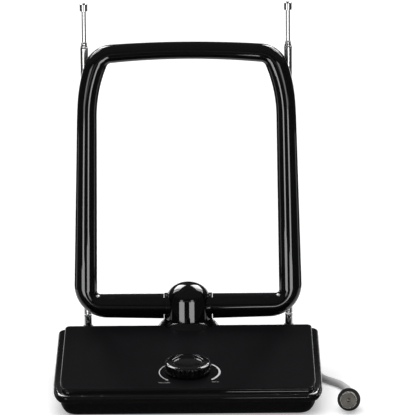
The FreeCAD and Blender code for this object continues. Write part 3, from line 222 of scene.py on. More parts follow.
@dataclass(frozen=True)
class Finish:
    """A surface finish that a piece can be given."""

    name: str
    colour: Triple
    roughness: float

    def material(self) -> bpy.types.Material:
        """Make the material, or give it back if it is made already.

        Returns:
            The material.
        """
        name = f"dressed_{self.name}"
        found = bpy.data.materials.get(name)
        if found is None:
            found, graph = node_material(name)
            self.draw(graph)
        return found

    def draw(self, graph: Graph) -> None:
        """Draw the finish's own nodes."""
        raise NotImplementedError

    def shade(self, factor: float) -> Triple:
        """Give the finish's colour made lighter or darker."""
        return tuple(min(1.0, channel * factor) for channel in self.colour)


@dataclass(frozen=True)
class Moulded(Finish):
    """Injection-moulded plastic: polished or lightly grained, with handling marks."""

    grain: float = 0.00001
    grain_scale: float = 2600.0
    specular: float = 0.3

    def patterns(self, graph: Graph, place: Signal) -> tuple[Signal, Signal, Signal]:
        """Give the patterns that every moulding has.

        Args:
            graph: The material's graph.
            place: The piece's coordinates.

        Returns:
            Soft drift, rubbed patches and fine grain.
        """
        drift = graph.noise(place, scale=28.0, detail=4.0)
        rubbed = graph.noise(graph.coordinates((1.0, 0.25, 1.0)), scale=420.0, detail=5.0, roughness=0.65)
        return drift, rubbed, graph.noise(place, self.grain_scale, detail=2.0)

    def draw(self, graph: Graph) -> None:
        """Draw soft colour drift, fine grain and faint rubbed patches."""
        drift, rubbed, fine = self.patterns(graph, graph.coordinates())
        graph.surface({
            "Base Color": graph.tint(drift, self.shade(0.82), self.shade(1.2)),
            "Roughness": (self.roughness + (drift - 0.5) * 0.05 + (rubbed - 0.5) * 0.07).clamped(),
            "Specular IOR Level": self.specular,
            "Normal": graph.bump(fine, self.grain),
        })


@dataclass(frozen=True)
class Casing(Moulded):
    """Moulded plastic with a polished skin all round, which is left off the satin sloping panel."""

    satin: float = 0.34
    panel_skin: float = 0.16

    def draw(self, graph: Graph) -> None:
        """Draw the polish, the satin grain on the panel and faint rubbed patches."""
        place = graph.coordinates()
        axes = graph.add("ShaderNodeSeparateXYZ", {}, {"Vector": place})
        rise = ((axes.signal("Z") - PANEL_FRONT.z * MM) * math.cos(PANEL_ANGLE)
                - (axes.signal("Y") - PANEL_FRONT.y * MM) * math.sin(PANEL_ANGLE)) / (self.panel_skin * MM)
        flat = (2.0 - rise * rise).clamped()
        drift, rubbed, fine = self.patterns(graph, place)
        worn = rubbed * 0.3 + 0.85
        graph.surface({
            "Base Color": graph.tint(drift * 0.4 + flat * 0.6, self.shade(0.5), self.shade(1.25)),
            "Roughness": (self.satin + (drift - 0.5) * 0.06 + (rubbed - 0.5) * 0.08).clamped(),
            "Specular IOR Level": self.specular,
            "Coat Weight": ((1.0 - flat) * worn).clamped(),
            "Coat Roughness": self.roughness,
            "Normal": graph.bump(fine, self.grain),
        })


@dataclass(frozen=True)
class Plated(Finish):
    """Bright plating on drawn metal, with faint lines along the piece."""

    streak: Triple = (900.0, 900.0, 25.0)
    streak_depth: float = 0.0000004
    haze: float = 0.05

    def draw(self, graph: Graph) -> None:
        """Draw drawing lines, a slight haze and small tone changes."""
        lines = graph.noise(graph.coordinates(self.streak), scale=1.0, detail=3.0)
        haze = graph.noise(graph.coordinates(), scale=160.0, detail=4.0)
        graph.surface({
            "Base Color": graph.tint(haze, self.shade(0.9), self.shade(1.06)),
            "Metallic": 1.0,
            "Roughness": (self.roughness + (haze - 0.5) * self.haze + (lines - 0.5) * 0.04).clamped(),
            "Normal": graph.bump(lines, self.streak_depth),
        })


@dataclass(frozen=True)
class Sheath(Finish):
    """Soft extruded cable sheath."""

    scuff_depth: float = 0.00002

    def draw(self, graph: Graph) -> None:
        """Draw a matt skin with faint scuffs."""
        place = graph.coordinates()
        scuff = graph.noise(place, scale=300.0, detail=5.0, roughness=0.6)
        broad = graph.noise(place, scale=40.0, detail=3.0)
        graph.surface({
            "Base Color": graph.tint(broad * 0.6 + scuff * 0.4, self.shade(0.88), self.shade(1.1)),
            "Roughness": (self.roughness + (scuff - 0.5) * 0.16).clamped(),
            "Specular IOR Level": 0.45,
            "Normal": graph.bump(scuff, self.scuff_depth),
        })


@dataclass(frozen=True)
class Rubber(Finish):
    """Matt rubber with a coarse grain."""

    grain_depth: float = 0.00004

    def draw(self, graph: Graph) -> None:
        """Draw a dry, grained skin."""
        place = graph.coordinates()
        grain = graph.noise(place, scale=1500.0, detail=3.0, roughness=0.6)
        dust = graph.noise(place, scale=90.0, detail=4.0)
        graph.surface({
            "Base Color": graph.tint(dust, self.shade(0.75), self.shade(1.5)),
            "Roughness": (self.roughness + (dust - 0.5) * 0.15).clamped(),
            "Specular IOR Level": 0.3,
            "Normal": graph.bump(grain, self.grain_depth),
        })


@dataclass(frozen=True)
class Laminate(Finish):
    """Circuit board with copper runs showing through the mask."""

    run_depth: float = 0.00003

    def draw(self, graph: Graph) -> None:
        """Draw straight runs of copper under a green mask."""
        place = graph.coordinates((1.0, 1.0, 0.0))
        cells = graph.add("ShaderNodeTexVoronoi", {"distance": "MANHATTAN", "feature": "F1"},
                          {"Vector": place, "Scale": 260.0}).signal("Distance")
        runs = (cells - 0.25).above(0.22)
        graph.surface({
            "Base Color": graph.tint(runs, self.shade(0.8), self.shade(1.7)),
            "Roughness": (self.roughness + runs * 0.1).clamped(),
            "Specular IOR Level": 0.5,
            "Normal": graph.bump(runs, self.run_depth),
        })


@dataclass(frozen=True)
class Ink(Finish):
    """Screen-printed ink."""

    def draw(self, graph: Graph) -> None:
        """Draw slightly uneven ink."""
        uneven = graph.noise(graph.coordinates(), scale=1800.0, detail=3.0)
        graph.surface({
            "Base Color": graph.tint(uneven, self.shade(0.85), self.colour),
            "Roughness": (self.roughness + (uneven - 0.5) * 0.2).clamped(),
            "Specular IOR Level": 0.3,
        })


class Finishes(Enum):
    """The antenna's finishes."""

    CASING = Casing("casing_plastic", (0.0052, 0.0052, 0.006), 0.06, grain=0.000001, specular=0.012)
    LOOP = Moulded("loop_plastic", (0.0035, 0.0035, 0.004), 0.05, grain=0.0000006, specular=0.5)
    KNOB = Moulded("knob_plastic", (0.0045, 0.0045, 0.005), 0.1, grain=0.000001, specular=0.5)
    FITTING = Moulded("fitting_plastic", (0.014, 0.0138, 0.0135), 0.38, grain=0.00002, specular=0.4)
    WHITE = Moulded("plug_white", (0.42, 0.39, 0.35), 0.45, grain=0.00001, specular=0.4)
    RUBBER = Rubber("foot_rubber", (0.02, 0.02, 0.02), 0.8)
    CHROME = Plated("rod_chrome", (0.78, 0.78, 0.79), 0.1)
    STEEL = Plated("screw_steel", (0.52, 0.52, 0.54), 0.3, streak=(300.0, 300.0, 300.0))
    SHEET = Plated("ballast_steel", (0.36, 0.35, 0.34), 0.42, streak=(900.0, 30.0, 30.0), haze=0.2)
    TIN = Plated("tinned_steel", (0.62, 0.62, 0.6), 0.26, streak=(60.0, 900.0, 60.0))
    BRASS = Plated("nut_brass", (0.66, 0.49, 0.22), 0.25)
    ALUMINIUM = Plated("plain_aluminium", (0.74, 0.74, 0.75), 0.3)
    NICKEL = Plated("plug_metal", (0.56, 0.54, 0.51), 0.26)
    SHEATH = Sheath("lead_sheath", (0.62, 0.605, 0.615), 0.42)
    LAMINATE = Laminate("board_laminate", (0.02, 0.12, 0.045), 0.35)
    INK = Ink("panel_ink", (0.62, 0.62, 0.63), 0.5)


NODE_FINISHES: dict[Finishes, tuple[str, ...]] = {
    Finishes.CASING: ("upper_shell", "base_tray"),
    Finishes.LOOP: ("pivot_post", "pivot_collar_left", "pivot_collar_right", "loop_front_shell",
                    "loop_rear_shell"),
    Finishes.KNOB: ("gain_knob",),
    Finishes.RUBBER: ("rubber_feet",),
    Finishes.SHEET: ("ballast_plate",),
    Finishes.LAMINATE: ("amplifier_board",),
    Finishes.TIN: ("shield_can", "gain_potentiometer"),
    Finishes.BRASS: ("potentiometer_nut",),
    Finishes.ALUMINIUM: ("potentiometer_shaft", "loop_element"),
    Finishes.FITTING: ("dc_socket", "cable_gland", "plug_body"),
    Finishes.NICKEL: ("plug_shield", "plug_pin"),
    Finishes.WHITE: ("plug_insulator",),
    Finishes.CHROME: tuple(f"rod_{piece}_{side}" for side in SIDES
                           for piece in ("turret", "lower_tube", "middle_tube", "upper_tube", "tip")),
    Finishes.STEEL: ("case_screws", "post_screws",
                     *(f"rod_{piece}_{side}" for side in SIDES for piece in ("pin", "screw"))),
}


def paint(piece: bpy.types.Object, finish: Finishes) -> None:
    """Give a piece one finish all over.

    Args:
        piece: The mesh or curve.
        finish: The finish.
    """
    piece.data.materials.clear()
    piece.data.materials.append(finish.value.material())


def linked(name: str, data: bpy.types.ID) -> bpy.types.Object:
    """Put a mesh, a curve, a lamp or a lens into the scene.

    Args:
        name: The object's name.
        data: What it holds.

    Returns:
        The object.
    """
    piece = bpy.data.objects.new(name, data)
    bpy.context.scene.collection.objects.link(piece)
    return piece


def meshed(name: str, shape: bmesh.types.BMesh) -> bpy.types.Object:
    """Put a bmesh into the scene.

    Args:
        name: The object's name.
        shape: The mesh, freed here.

    Returns:
        The object.
    """
    mesh = bpy.data.meshes.new(name)
    shape.to_mesh(mesh)
    shape.free()
    return linked(name, mesh)


def finished(name: str, shape: bmesh.types.BMesh, finish: Finishes, body: str,
             smooth: bool = True) -> bpy.types.Object:
    """Turn a bmesh in millimetres into a piece that rides on a body.

    Args:
        name: The piece's name.
        shape: The mesh, freed here.
        finish: The piece's finish.
        body: The body that it moves with.
        smooth: Whether faces are shaded smooth, with sharp edges kept.

    Returns:
        The piece.
    """
    bmesh.ops.remove_doubles(shape, verts=shape.verts, dist=WELD)
    bmesh.ops.recalc_face_normals(shape, faces=shape.faces)
    bmesh.ops.scale(shape, vec=(MM, MM, MM), verts=shape.verts)
    piece = meshed(name, shape)
    if smooth:
        piece.data.shade_smooth()
        piece.data.set_sharp_from_angle(angle=SHARP_ANGLE)
    paint(piece, finish)
    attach(piece, body)
    LOG.info("%s: %d faces", name, len(piece.data.polygons))
    return piece


def swivel(shape: bmesh.types.BMesh, verts: Sequence[bmesh.types.BMVert], degrees: float, axis: str) -> None:
    """Turn verts about one of the axes."""
    turn = Matrix.Rotation(math.radians(degrees), 3, axis)
    bmesh.ops.rotate(shape, verts=verts, cent=ORIGIN, matrix=turn)


def swept(ends: Sequence[Triple], start: float, sweep: float, steps: int) -> bmesh.types.BMesh:
    """Swing one straight edge round the upright axis.

    Args:
        ends: The edge's two ends.
        start: How far the edge is turned before it swings, in degrees.
        sweep: How far it swings, in degrees.
        steps: How many steps the swing takes.

    Returns:
        The mesh.
    """
    shape = bmesh.new()
    verts = [shape.verts.new(end) for end in ends]
    edges = [shape.edges.new(verts)]
    swivel(shape, verts, start, "Z")
    bmesh.ops.spin(shape, geom=verts + edges, cent=ORIGIN, axis=UPRIGHT, dvec=ORIGIN,
                   angle=math.radians(sweep), steps=steps, use_merge=False, use_duplicate=False)
    return shape


def spun(points: Sequence[Pair], steps: int) -> bmesh.types.BMesh:
    """Spin a profile of radius and height round the upright axis.

    Args:
        points: The profile, from one end to the other.
        steps: How many steps a full turn takes.

    Returns:
        The mesh, in millimetres.
    """
    shape = bmesh.new()
    verts = [shape.verts.new((radius, 0.0, height)) for radius, height in points]
    edges = [shape.edges.new(pair) for pair in zip(verts, verts[1:])]
    bmesh.ops.spin(shape, geom=verts + edges, cent=ORIGIN, axis=UPRIGHT, dvec=ORIGIN,
                   angle=math.tau, steps=steps, use_merge=True, use_duplicate=False)
    bmesh.ops.remove_doubles(shape, verts=shape.verts, dist=WELD)
    return shape


def rounded(points: Sequence[Triple], steps: int = 6) -> list[Pair]:
    """Round the corners of a profile.

    Args:
        points: Radius, height and rounding of each corner.
        steps: Divisions of each round.

    Returns:
        The rounded profile.
    """
    out: list[Pair] = []
    for number, (x, y, rounding) in enumerate(points):
        here = Vector((x, y))
        if rounding <= 0.0 or number in (0, len(points) - 1):
            out.append((x, y))
            continue
        before = (Vector(points[number - 1][:2]) - here).normalized()
        after = (Vector(points[number + 1][:2]) - here).normalized()
        for step in range(steps + 1):
            share = step / steps
            bend = here + before * rounding * (1.0 - share) ** 2 + after * rounding * share ** 2
            out.append((bend.x, bend.y))
    return out


def ridged(start: Pair, end: Pair, count: int, depth: float) -> list[Pair]:
    """Give a tapering profile with round ridges, from one radius and height to another.

    Args:
        start: Radius and height where it starts.
        end: Radius and height where it ends.
        count: How many ridges it has.
        depth: How deep the grooves between them are.

    Returns:
        The profile.
    """
    steps = count * RIDGE_STEPS
    points = []
    for step in range(steps + 1):
        share = step / steps
        wave = (1.0 - math.cos(math.tau * share * count)) / 2.0
        radius = start[0] + (end[0] - start[0]) * share - depth * wave ** GROOVE_POWER
        points.append((radius, start[1] + (end[1] - start[1]) * share))
    return points


def panel_matrix(place: Vector) -> Matrix:
    """Give the matrix from an upright axis at the origin to the panel's direction at a place."""
    return Matrix.Translation(place) @ Matrix.Rotation(PANEL_ANGLE, 4, "X")


@dataclass
class AerialLead:
    """The aerial lead: out of the gland, round a tied coil and along the right side to its plug."""

    diameter: float = 4.5
    coil_centre: Pair = (-23.0, 101.0)
    coil_from: float = 19.0
    coil_to: float = 2070.0
    outer_turn: float = 27.5
    inner_turn: float = 16.0
    layers: Pair = (6.75, 2.25)
    drop: Pair = (0.45, 0.55)
    points_per_turn: int = 16
    tie_margin: float = 0.5
    tie_half_height: float = 4.65
    tie_corner: float = 2.4
    tie_width: float = 4.0
    tie_thickness: float = 0.25
    tie_z: float = 4.95
    tie_direction: float = 140.0
    lead_in: Sequence[Triple] = (
        (3.0, 79.95, 13.0), (3.0, 86.0, 12.6), (3.6, 93.5, 10.4), (4.4, 101.5, 7.6))
    lead_out: Sequence[Triple] = (
        (-4.0, 73.4, 2.25), (18.0, 74.2, 2.25), (42.0, 73.8, 2.25), (62.0, 70.0, 2.25), (74.6, 58.5, 2.25),
        (77.4, 44.0, 2.25), (77.8, 29.0, 2.25), (81.5, 17.0, 2.25), (89.5, 6.5, 2.25), (93.6, -7.0, 2.25),
        (94.0, -19.0, 2.25), (93.75, -28.0, 2.55), (93.58, -35.42, 3.35))

    def coil(self) -> list[Triple]:
        """Give the coil's points: a spiral in along the top and out again below.

        Returns:
            Points in millimetres.
        """
        whole = self.coil_to - self.coil_from
        count = round(whole / (360.0 / self.points_per_turn))
        drop_from, drop_to = self.drop
        top, bottom = self.layers
        points = []
        for number in range(count + 1):
            share = number / count
            angle = math.radians(self.coil_from + whole * share)
            depth = min(1.0, max(0.0, (share - drop_from) / (drop_to - drop_from)))
            inward = min(share, 1.0 - share, drop_from) / drop_from
            radius = self.outer_turn + (self.inner_turn - self.outer_turn) * inward
            points.append((self.coil_centre[0] + radius * math.cos(angle),
                           self.coil_centre[1] + radius * math.sin(angle), top + (bottom - top) * depth))
        return points

    def route(self) -> list[Vector]:
        """Give the lead's control points in metres."""
        return [Vector(point) * MM for point in (*self.lead_in, *self.coil(), *self.lead_out)]

    def build(self) -> bpy.types.Object:
        """Lay the lead as one smooth round curve.

        Returns:
            The curve.
        """
        curve = bpy.data.curves.new("aerial_lead", "CURVE")
        curve.dimensions = "3D"
        curve.bevel_depth = self.diameter / 2 * MM
        curve.bevel_resolution = 6
        curve.resolution_u = 6
        curve.use_fill_caps = True
        route = self.route()
        spline = curve.splines.new("NURBS")
        spline.points.add(len(route) - 1)
        for point, place in zip(spline.points, route):
            point.co = (*place, 1.0)
        spline.order_u = 3
        spline.use_endpoint_u = True
        piece = linked("aerial_lead", curve)
        paint(piece, Finishes.SHEATH)
        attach(piece, "base")
        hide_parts("lead_to_coil", "lead_coil", "lead_to_plug")
        LOG.info("aerial_lead: %d points", len(route))
        return piece

    def length(self, piece: bpy.types.Object) -> float:
        """Measure the curve's own line.

        Args:
            piece: The lead.

        Returns:
            Its length in metres.
        """
        return sum(spline.calc_length(resolution=512) for spline in piece.data.splines)

    def tie(self) -> bpy.types.Object:
        """Wrap a flat strap round the coil's bundle.

        Returns:
            The strap.
        """
        shape = bmesh.new()
        middle = (self.outer_turn + self.inner_turn) / 2
        half_wide = (self.outer_turn - self.inner_turn) / 2 + self.diameter / 2 + self.tie_margin
        bmesh.ops.create_grid(shape, x_segments=1, y_segments=1, size=1.0)
        bmesh.ops.scale(shape, vec=(half_wide, self.tie_half_height, 1.0), verts=shape.verts)
        bmesh.ops.bevel(shape, geom=shape.verts[:], offset=self.tie_corner, affect="VERTICES", segments=6,
                        profile=0.5, material=-1)
        bmesh.ops.delete(shape, geom=shape.faces[:], context="FACES_ONLY")
        swivel(shape, shape.verts, 90.0, "X")
        drawn = bmesh.ops.extrude_edge_only(shape, edges=shape.edges[:])["geom"]
        moved = [item for item in drawn if isinstance(item, bmesh.types.BMVert)]
        bmesh.ops.translate(shape, verts=moved, vec=(0.0, self.tie_width, 0.0))
        bmesh.ops.recalc_face_normals(shape, faces=shape.faces)
        bmesh.ops.solidify(shape, geom=shape.faces[:], thickness=-self.tie_thickness)
        bmesh.ops.translate(shape, verts=shape.verts, vec=(middle, -self.tie_width / 2, self.tie_z))
        swivel(shape, shape.verts, self.tie_direction, "Z")
        bmesh.ops.translate(shape, verts=shape.verts, vec=(*self.coil_centre, 0.0))
        return finished("lead_tie", shape, Finishes.FITTING, "base")


def turn_step(radius: float, start: float, end: float) -> Vector:
    """Give the step along a left-hand arc between two headings in degrees, in the loop's plane."""
    first, last = math.radians(start), math.radians(end)
    across = math.sin(last) - math.sin(first)
    up = math.cos(first) - math.cos(last)
    return Vector((radius * across, 0.0, radius * up))


def heading_step(length: float, heading: float) -> Vector:
    """Give the step along a straight run at a heading in degrees."""
    return Vector((length * math.cos(math.radians(heading)), 0.0, length * math.sin(math.radians(heading))))


@dataclass
class LoopEdge:
    """Right half of one edge of the loop: bar, foot bend, side, shoulder, corner and top arc."""

    start: Vector
    bar_heading: float
    foot_radius: float
    side_x: float
    lean_angle: float
    shoulder_radius: float
    shoulder_angle: float
    corner_radius: float
    top_slope: float
    top_z: float

    def __post_init__(self) -> None:
        """Work out the runs that bring the edge from the bar's end to the middle of the top."""
        self.lean = 90.0 + self.lean_angle
        self.shoulder = 90.0 + self.shoulder_angle
        self.top = 180.0 - self.top_slope
        bend = turn_step(self.foot_radius, self.bar_heading, self.lean)
        slope = math.tan(math.radians(self.lean_angle))
        reach = heading_step(1.0, self.bar_heading)
        gap = self.side_x - (self.start.x + bend.x) - slope * (self.start.z + bend.z - BAR_Z)
        self.foot = self.start + heading_step(gap / (reach.x + slope * reach.z), self.bar_heading)
        self.side = self.foot + bend
        shoulder_turn = turn_step(self.shoulder_radius, self.lean, self.shoulder)
        corner_turn = turn_step(self.corner_radius, self.shoulder, self.top)
        sag = math.tan(math.radians(self.top_slope / 2.0))
        along = heading_step(1.0, self.lean)
        fixed = self.side + shoulder_turn + corner_turn
        rise = (self.top_z - fixed.z - sag * fixed.x) / (along.z + sag * along.x)
        self.side_end = self.side + heading_step(rise, self.lean)
        self.shoulder_end = self.side_end + shoulder_turn
        self.corner_end = self.shoulder_end + corner_turn
        self.top_radius = self.corner_end.x / math.sin(math.radians(self.top_slope))

    def along_bar(self, share: float) -> Vector:
        """Give the point at a share of the straight bar."""
        return self.start.lerp(self.foot, share)

    def round_foot(self, share: float) -> Vector:
        """Give the point at a share of the bend between bar and side."""
        heading = self.bar_heading + (self.lean - self.bar_heading) * share
        return self.foot + turn_step(self.foot_radius, self.bar_heading, heading)

    def along_side(self, share: float) -> Vector:
        """Give the point at a share of the straight side."""
        return self.side.lerp(self.side_end, share)

    def at_heading(self, heading: float) -> Vector:
        """Give the point of the shoulder or the corner where the edge runs at a heading."""
        if heading <= self.shoulder:
            return self.side_end + turn_step(self.shoulder_radius, self.lean, heading)
        return self.shoulder_end + turn_step(self.corner_radius, self.shoulder, heading)

    def distance_to(self, heading: float) -> float:
        """Give the distance from the straight side's end to where the edge runs at a heading."""
        bend = math.radians(min(heading, self.shoulder) - self.lean) * self.shoulder_radius
        return bend + math.radians(max(heading - self.shoulder, 0.0)) * self.corner_radius

    def after(self, distance: float) -> Vector:
        """Give the point at a distance past the straight side's end."""
        bend = math.radians(self.shoulder - self.lean) * self.shoulder_radius
        if distance <= bend:
            return self.at_heading(self.lean + math.degrees(distance / self.shoulder_radius))
        return self.at_heading(self.shoulder + math.degrees((distance - bend) / self.corner_radius))

    def heading_facing(self, point: Vector, angle: float) -> float:
        """Give the heading of the corner where a ray from a point at an angle meets it."""
        hub = self.shoulder_end + heading_step(self.corner_radius, self.shoulder + 90.0)
        ray = heading_step(1.0, angle)
        gap = point - hub
        along = gap.dot(ray)
        spoke = gap + ray * (math.sqrt(along ** 2 - gap.dot(gap) + self.corner_radius ** 2) - along)
        return math.degrees(math.atan2(spoke.z, spoke.x)) + 90.0

    def heading_at(self, x: float) -> float:
        """Give the corner's heading at a distance from the middle."""
        share = math.sin(math.radians(self.shoulder)) - (self.shoulder_end.x - x) / self.corner_radius
        return 180.0 - math.degrees(math.asin(share))

    def at_x(self, x: float) -> Vector:
        """Give the point of the top edge at a distance from the middle."""
        if x > self.corner_end.x:
            return self.at_heading(self.heading_at(x))
        return Vector((x, 0.0, self.top_z - self.top_radius + math.sqrt(self.top_radius ** 2 - x ** 2)))


Section = tuple[Vector, Vector, float]


@dataclass
class LoopCover:
    """The loop's moulded cover, with a fine parting line between its two halves."""

    bar_end: float = 14.7
    bar_radius: float = 7.6
    journal_radius: float = 5.0
    journal_length: float = 6.0
    rise: float = 160.4
    top_thickness: float = 10.3
    nick_width: float = 0.026
    nick_scale: float = 0.972
    segments: int = 48
    steps: int = 22

    def edges(self) -> tuple[LoopEdge, LoopEdge]:
        """Give the outer edge and the window's edge."""
        top = BAR_Z + self.rise
        outer = LoopEdge(
            Vector((self.bar_end, 0.0, BAR_Z - self.bar_radius)), bar_heading=1.3, foot_radius=20.0,
            side_x=68.9, lean_angle=1.68, shoulder_radius=95.0, shoulder_angle=18.0, corner_radius=18.0,
            top_slope=3.7, top_z=top)
        window = LoopEdge(
            Vector((self.bar_end, 0.0, BAR_Z + self.bar_radius)), bar_heading=0.0, foot_radius=2.0,
            side_x=55.05, lean_angle=0.68, shoulder_radius=80.0, shoulder_angle=23.0, corner_radius=3.0,
            top_slope=5.6, top_z=top - self.top_thickness)
        return outer, window

    def right_half(self) -> list[Section]:
        """Give the sections from the bar's right end to the middle of the top.

        Returns:
            Inner point, outer point and half depth of each section.
        """
        outer, window = self.edges()
        steps = self.steps
        facing = outer.heading_facing(window.shoulder_end, window.shoulder - 90.0)
        meet = window.corner_end.x
        outer_meet = max(meet, outer.corner_end.x)
        outer_end = outer.heading_at(outer_meet)
        inner_bend, outer_bend = window.distance_to(window.shoulder), outer.distance_to(facing)
        shares = [number / steps for number in range(steps + 1)]
        runs = [
            [(window.along_bar(share), outer.along_bar(share)) for share in (0.0, 0.5, 1.0)],
            [(window.round_foot(share), outer.round_foot(share)) for share in shares],
            [(window.along_side(share), outer.along_side(share)) for share in (0.0, 0.25, 0.5, 0.75, 1.0)],
            [(window.after(inner_bend * share), outer.after(outer_bend * share)) for share in shares],
            [(window.at_heading(window.shoulder + (window.top - window.shoulder) * share),
              outer.at_heading(facing + (outer_end - facing) * share)) for share in shares],
            [(window.at_x(meet * (1.0 - share)), outer.at_x(outer_meet * (1.0 - share))) for share in shares],
        ]
        sections: list[Section] = []
        for run in runs:
            first, last = (run[0][1] - run[0][0]).length / 2.0, (run[-1][1] - run[-1][0]).length / 2.0
            for number, (inner, rim) in enumerate(run):
                if number or not sections:
                    sections.append((inner, rim, first + (last - first) * number / (len(run) - 1)))
        return sections

    def seat(self, section: Section) -> Matrix:
        """Give the matrix that puts a unit ring at a section."""
        inner, rim, half = section
        middle = (inner + rim) / 2.0
        across = (rim - inner) / 2.0
        along = across.cross(Vector((0.0, 1.0, 0.0)))
        columns = (across, Vector((0.0, half, 0.0)), along, middle + Vector((0.0, POST_Y, 0.0)))
        rows = [[column[axis] for column in columns] for axis in range(3)]
        return Matrix((*rows, (0.0, 0.0, 0.0, 1.0)))

    @staticmethod
    def parting(shape: bmesh.types.BMesh) -> list[bmesh.types.BMVert]:
        """Give the unit ring's verts at the parting line."""
        return [vert for vert in shape.verts if abs(vert.co.y) < ON_LINE]

    def ring(self, shape: bmesh.types.BMesh) -> Edges:
        """Make the unit ring, nicked at the parting line.

        Args:
            shape: The mesh that the ring goes into.

        Returns:
            The ring's edges.
        """
        bmesh.ops.create_circle(shape, cap_ends=True, segments=self.segments, radius=1.0)
        swivel(shape, shape.verts, 90.0, "Z")
        bmesh.ops.bevel(shape, geom=self.parting(shape), offset=self.nick_width, affect="VERTICES", segments=2,
                        profile=0.5, material=-1)
        bmesh.ops.scale(shape, vec=(self.nick_scale, 1.0, 1.0), verts=self.parting(shape))
        bmesh.ops.delete(shape, geom=shape.faces[:], context="FACES_ONLY")
        return shape.edges[:]

    def build(self) -> bpy.types.Object:
        """Draw the ring round the loop.

        Returns:
            The cover.
        """
        right = self.right_half()
        flip = Vector((-1.0, 1.0, 1.0))
        left = [(inner * flip, rim * flip, half) for inner, rim, half in reversed(right[:-1])]
        sections = right + left
        shape = bmesh.new()
        edges = self.ring(shape)
        seat = self.seat(sections[0])
        bmesh.ops.transform(shape, matrix=seat, verts=shape.verts)
        first = edges
        for section in sections[1:]:
            following = self.seat(section)
            edges = self.drawn_on(shape, edges, following @ seat.inverted())
            seat = following
        for ends, sign in ((first, 1.0), (edges, -1.0)):
            self.stub(shape, ends, sign)
        piece = finished("loop_cover", shape, Finishes.LOOP, "loop")
        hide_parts("loop_front_shell", "loop_rear_shell")
        return piece

    @staticmethod
    def drawn_on(shape: bmesh.types.BMesh, edges: Edges, move: Matrix) -> Edges:
        """Draw a ring of edges out to a new place.

        Args:
            shape: The mesh.
            edges: The ring.
            move: The matrix from the old place to the new one.

        Returns:
            The new ring.
        """
        drawn = bmesh.ops.extrude_edge_only(shape, edges=edges)["geom"]
        verts = [item for item in drawn if isinstance(item, bmesh.types.BMVert)]
        bmesh.ops.transform(shape, matrix=move, verts=verts)
        new = set(verts)
        return [item for item in drawn
                if isinstance(item, bmesh.types.BMEdge) and all(vert in new for vert in item.verts)]

    def stub(self, shape: bmesh.types.BMesh, edges: Edges, sign: float) -> None:
        """Add the journal that turns in a collar to one end of the bar."""
        share = self.journal_radius / self.bar_radius
        centre = Matrix.Translation((sign * self.bar_end, POST_Y, BAR_Z))
        narrow = centre @ Matrix.Diagonal((1.0, share, share, 1.0)) @ centre.inverted()
        edges = self.drawn_on(shape, edges, narrow)
        edges = self.drawn_on(shape, edges, Matrix.Translation((-sign * self.journal_length, 0.0, 0.0)))
        bmesh.ops.contextual_create(shape, geom=edges)


@dataclass
class GainKnob:
    """The knob: fluted rim, raised lip and dished top."""

    profile: Sequence[Triple] = (
        (0.0, 4.0, 0.0), (7.4, 4.0, 0.3), (7.4, 0.4, 0.2), (13.0, 0.4, 0.25), (13.2, 1.2, 0.3), (13.15, 6.1, 0.5),
        (11.9, 6.65, 0.25), (8.95, 6.95, 0.3), (8.1, 5.8, 0.3), (4.0, 5.75, 0.0), (0.0, 5.75, 0.0))
    flutes: int = 30
    flute_depth: float = 0.55
    flute_inside: float = 12.2
    flute_foot: float = 0.3
    flute_top: float = 6.2
    flute_fade: float = 0.8
    steps_per_flute: int = 8

    def build(self) -> bpy.types.Object:
        """Spin the knob and press the flutes into its rim.

        Returns:
            The knob.
        """
        shape = spun(rounded(self.profile), self.flutes * self.steps_per_flute)
        for vert in shape.verts:
            reach = math.hypot(vert.co.x, vert.co.y)
            if reach < self.flute_inside or not self.flute_foot < vert.co.z < self.flute_top:
                continue
            wave = math.cos(math.atan2(vert.co.y, vert.co.x) * self.flutes)
            fade = min(1.0, (self.flute_top - vert.co.z) / self.flute_fade)
            cut = self.flute_depth * max(0.0, wave) * fade
            vert.co.x *= 1.0 - cut / reach
            vert.co.y *= 1.0 - cut / reach
        bmesh.ops.transform(shape, matrix=panel_matrix(KNOB_SEAT), verts=shape.verts)
        piece = finished("knob_cap", shape, Finishes.KNOB, "knob")
        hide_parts("gain_knob")
        return piece


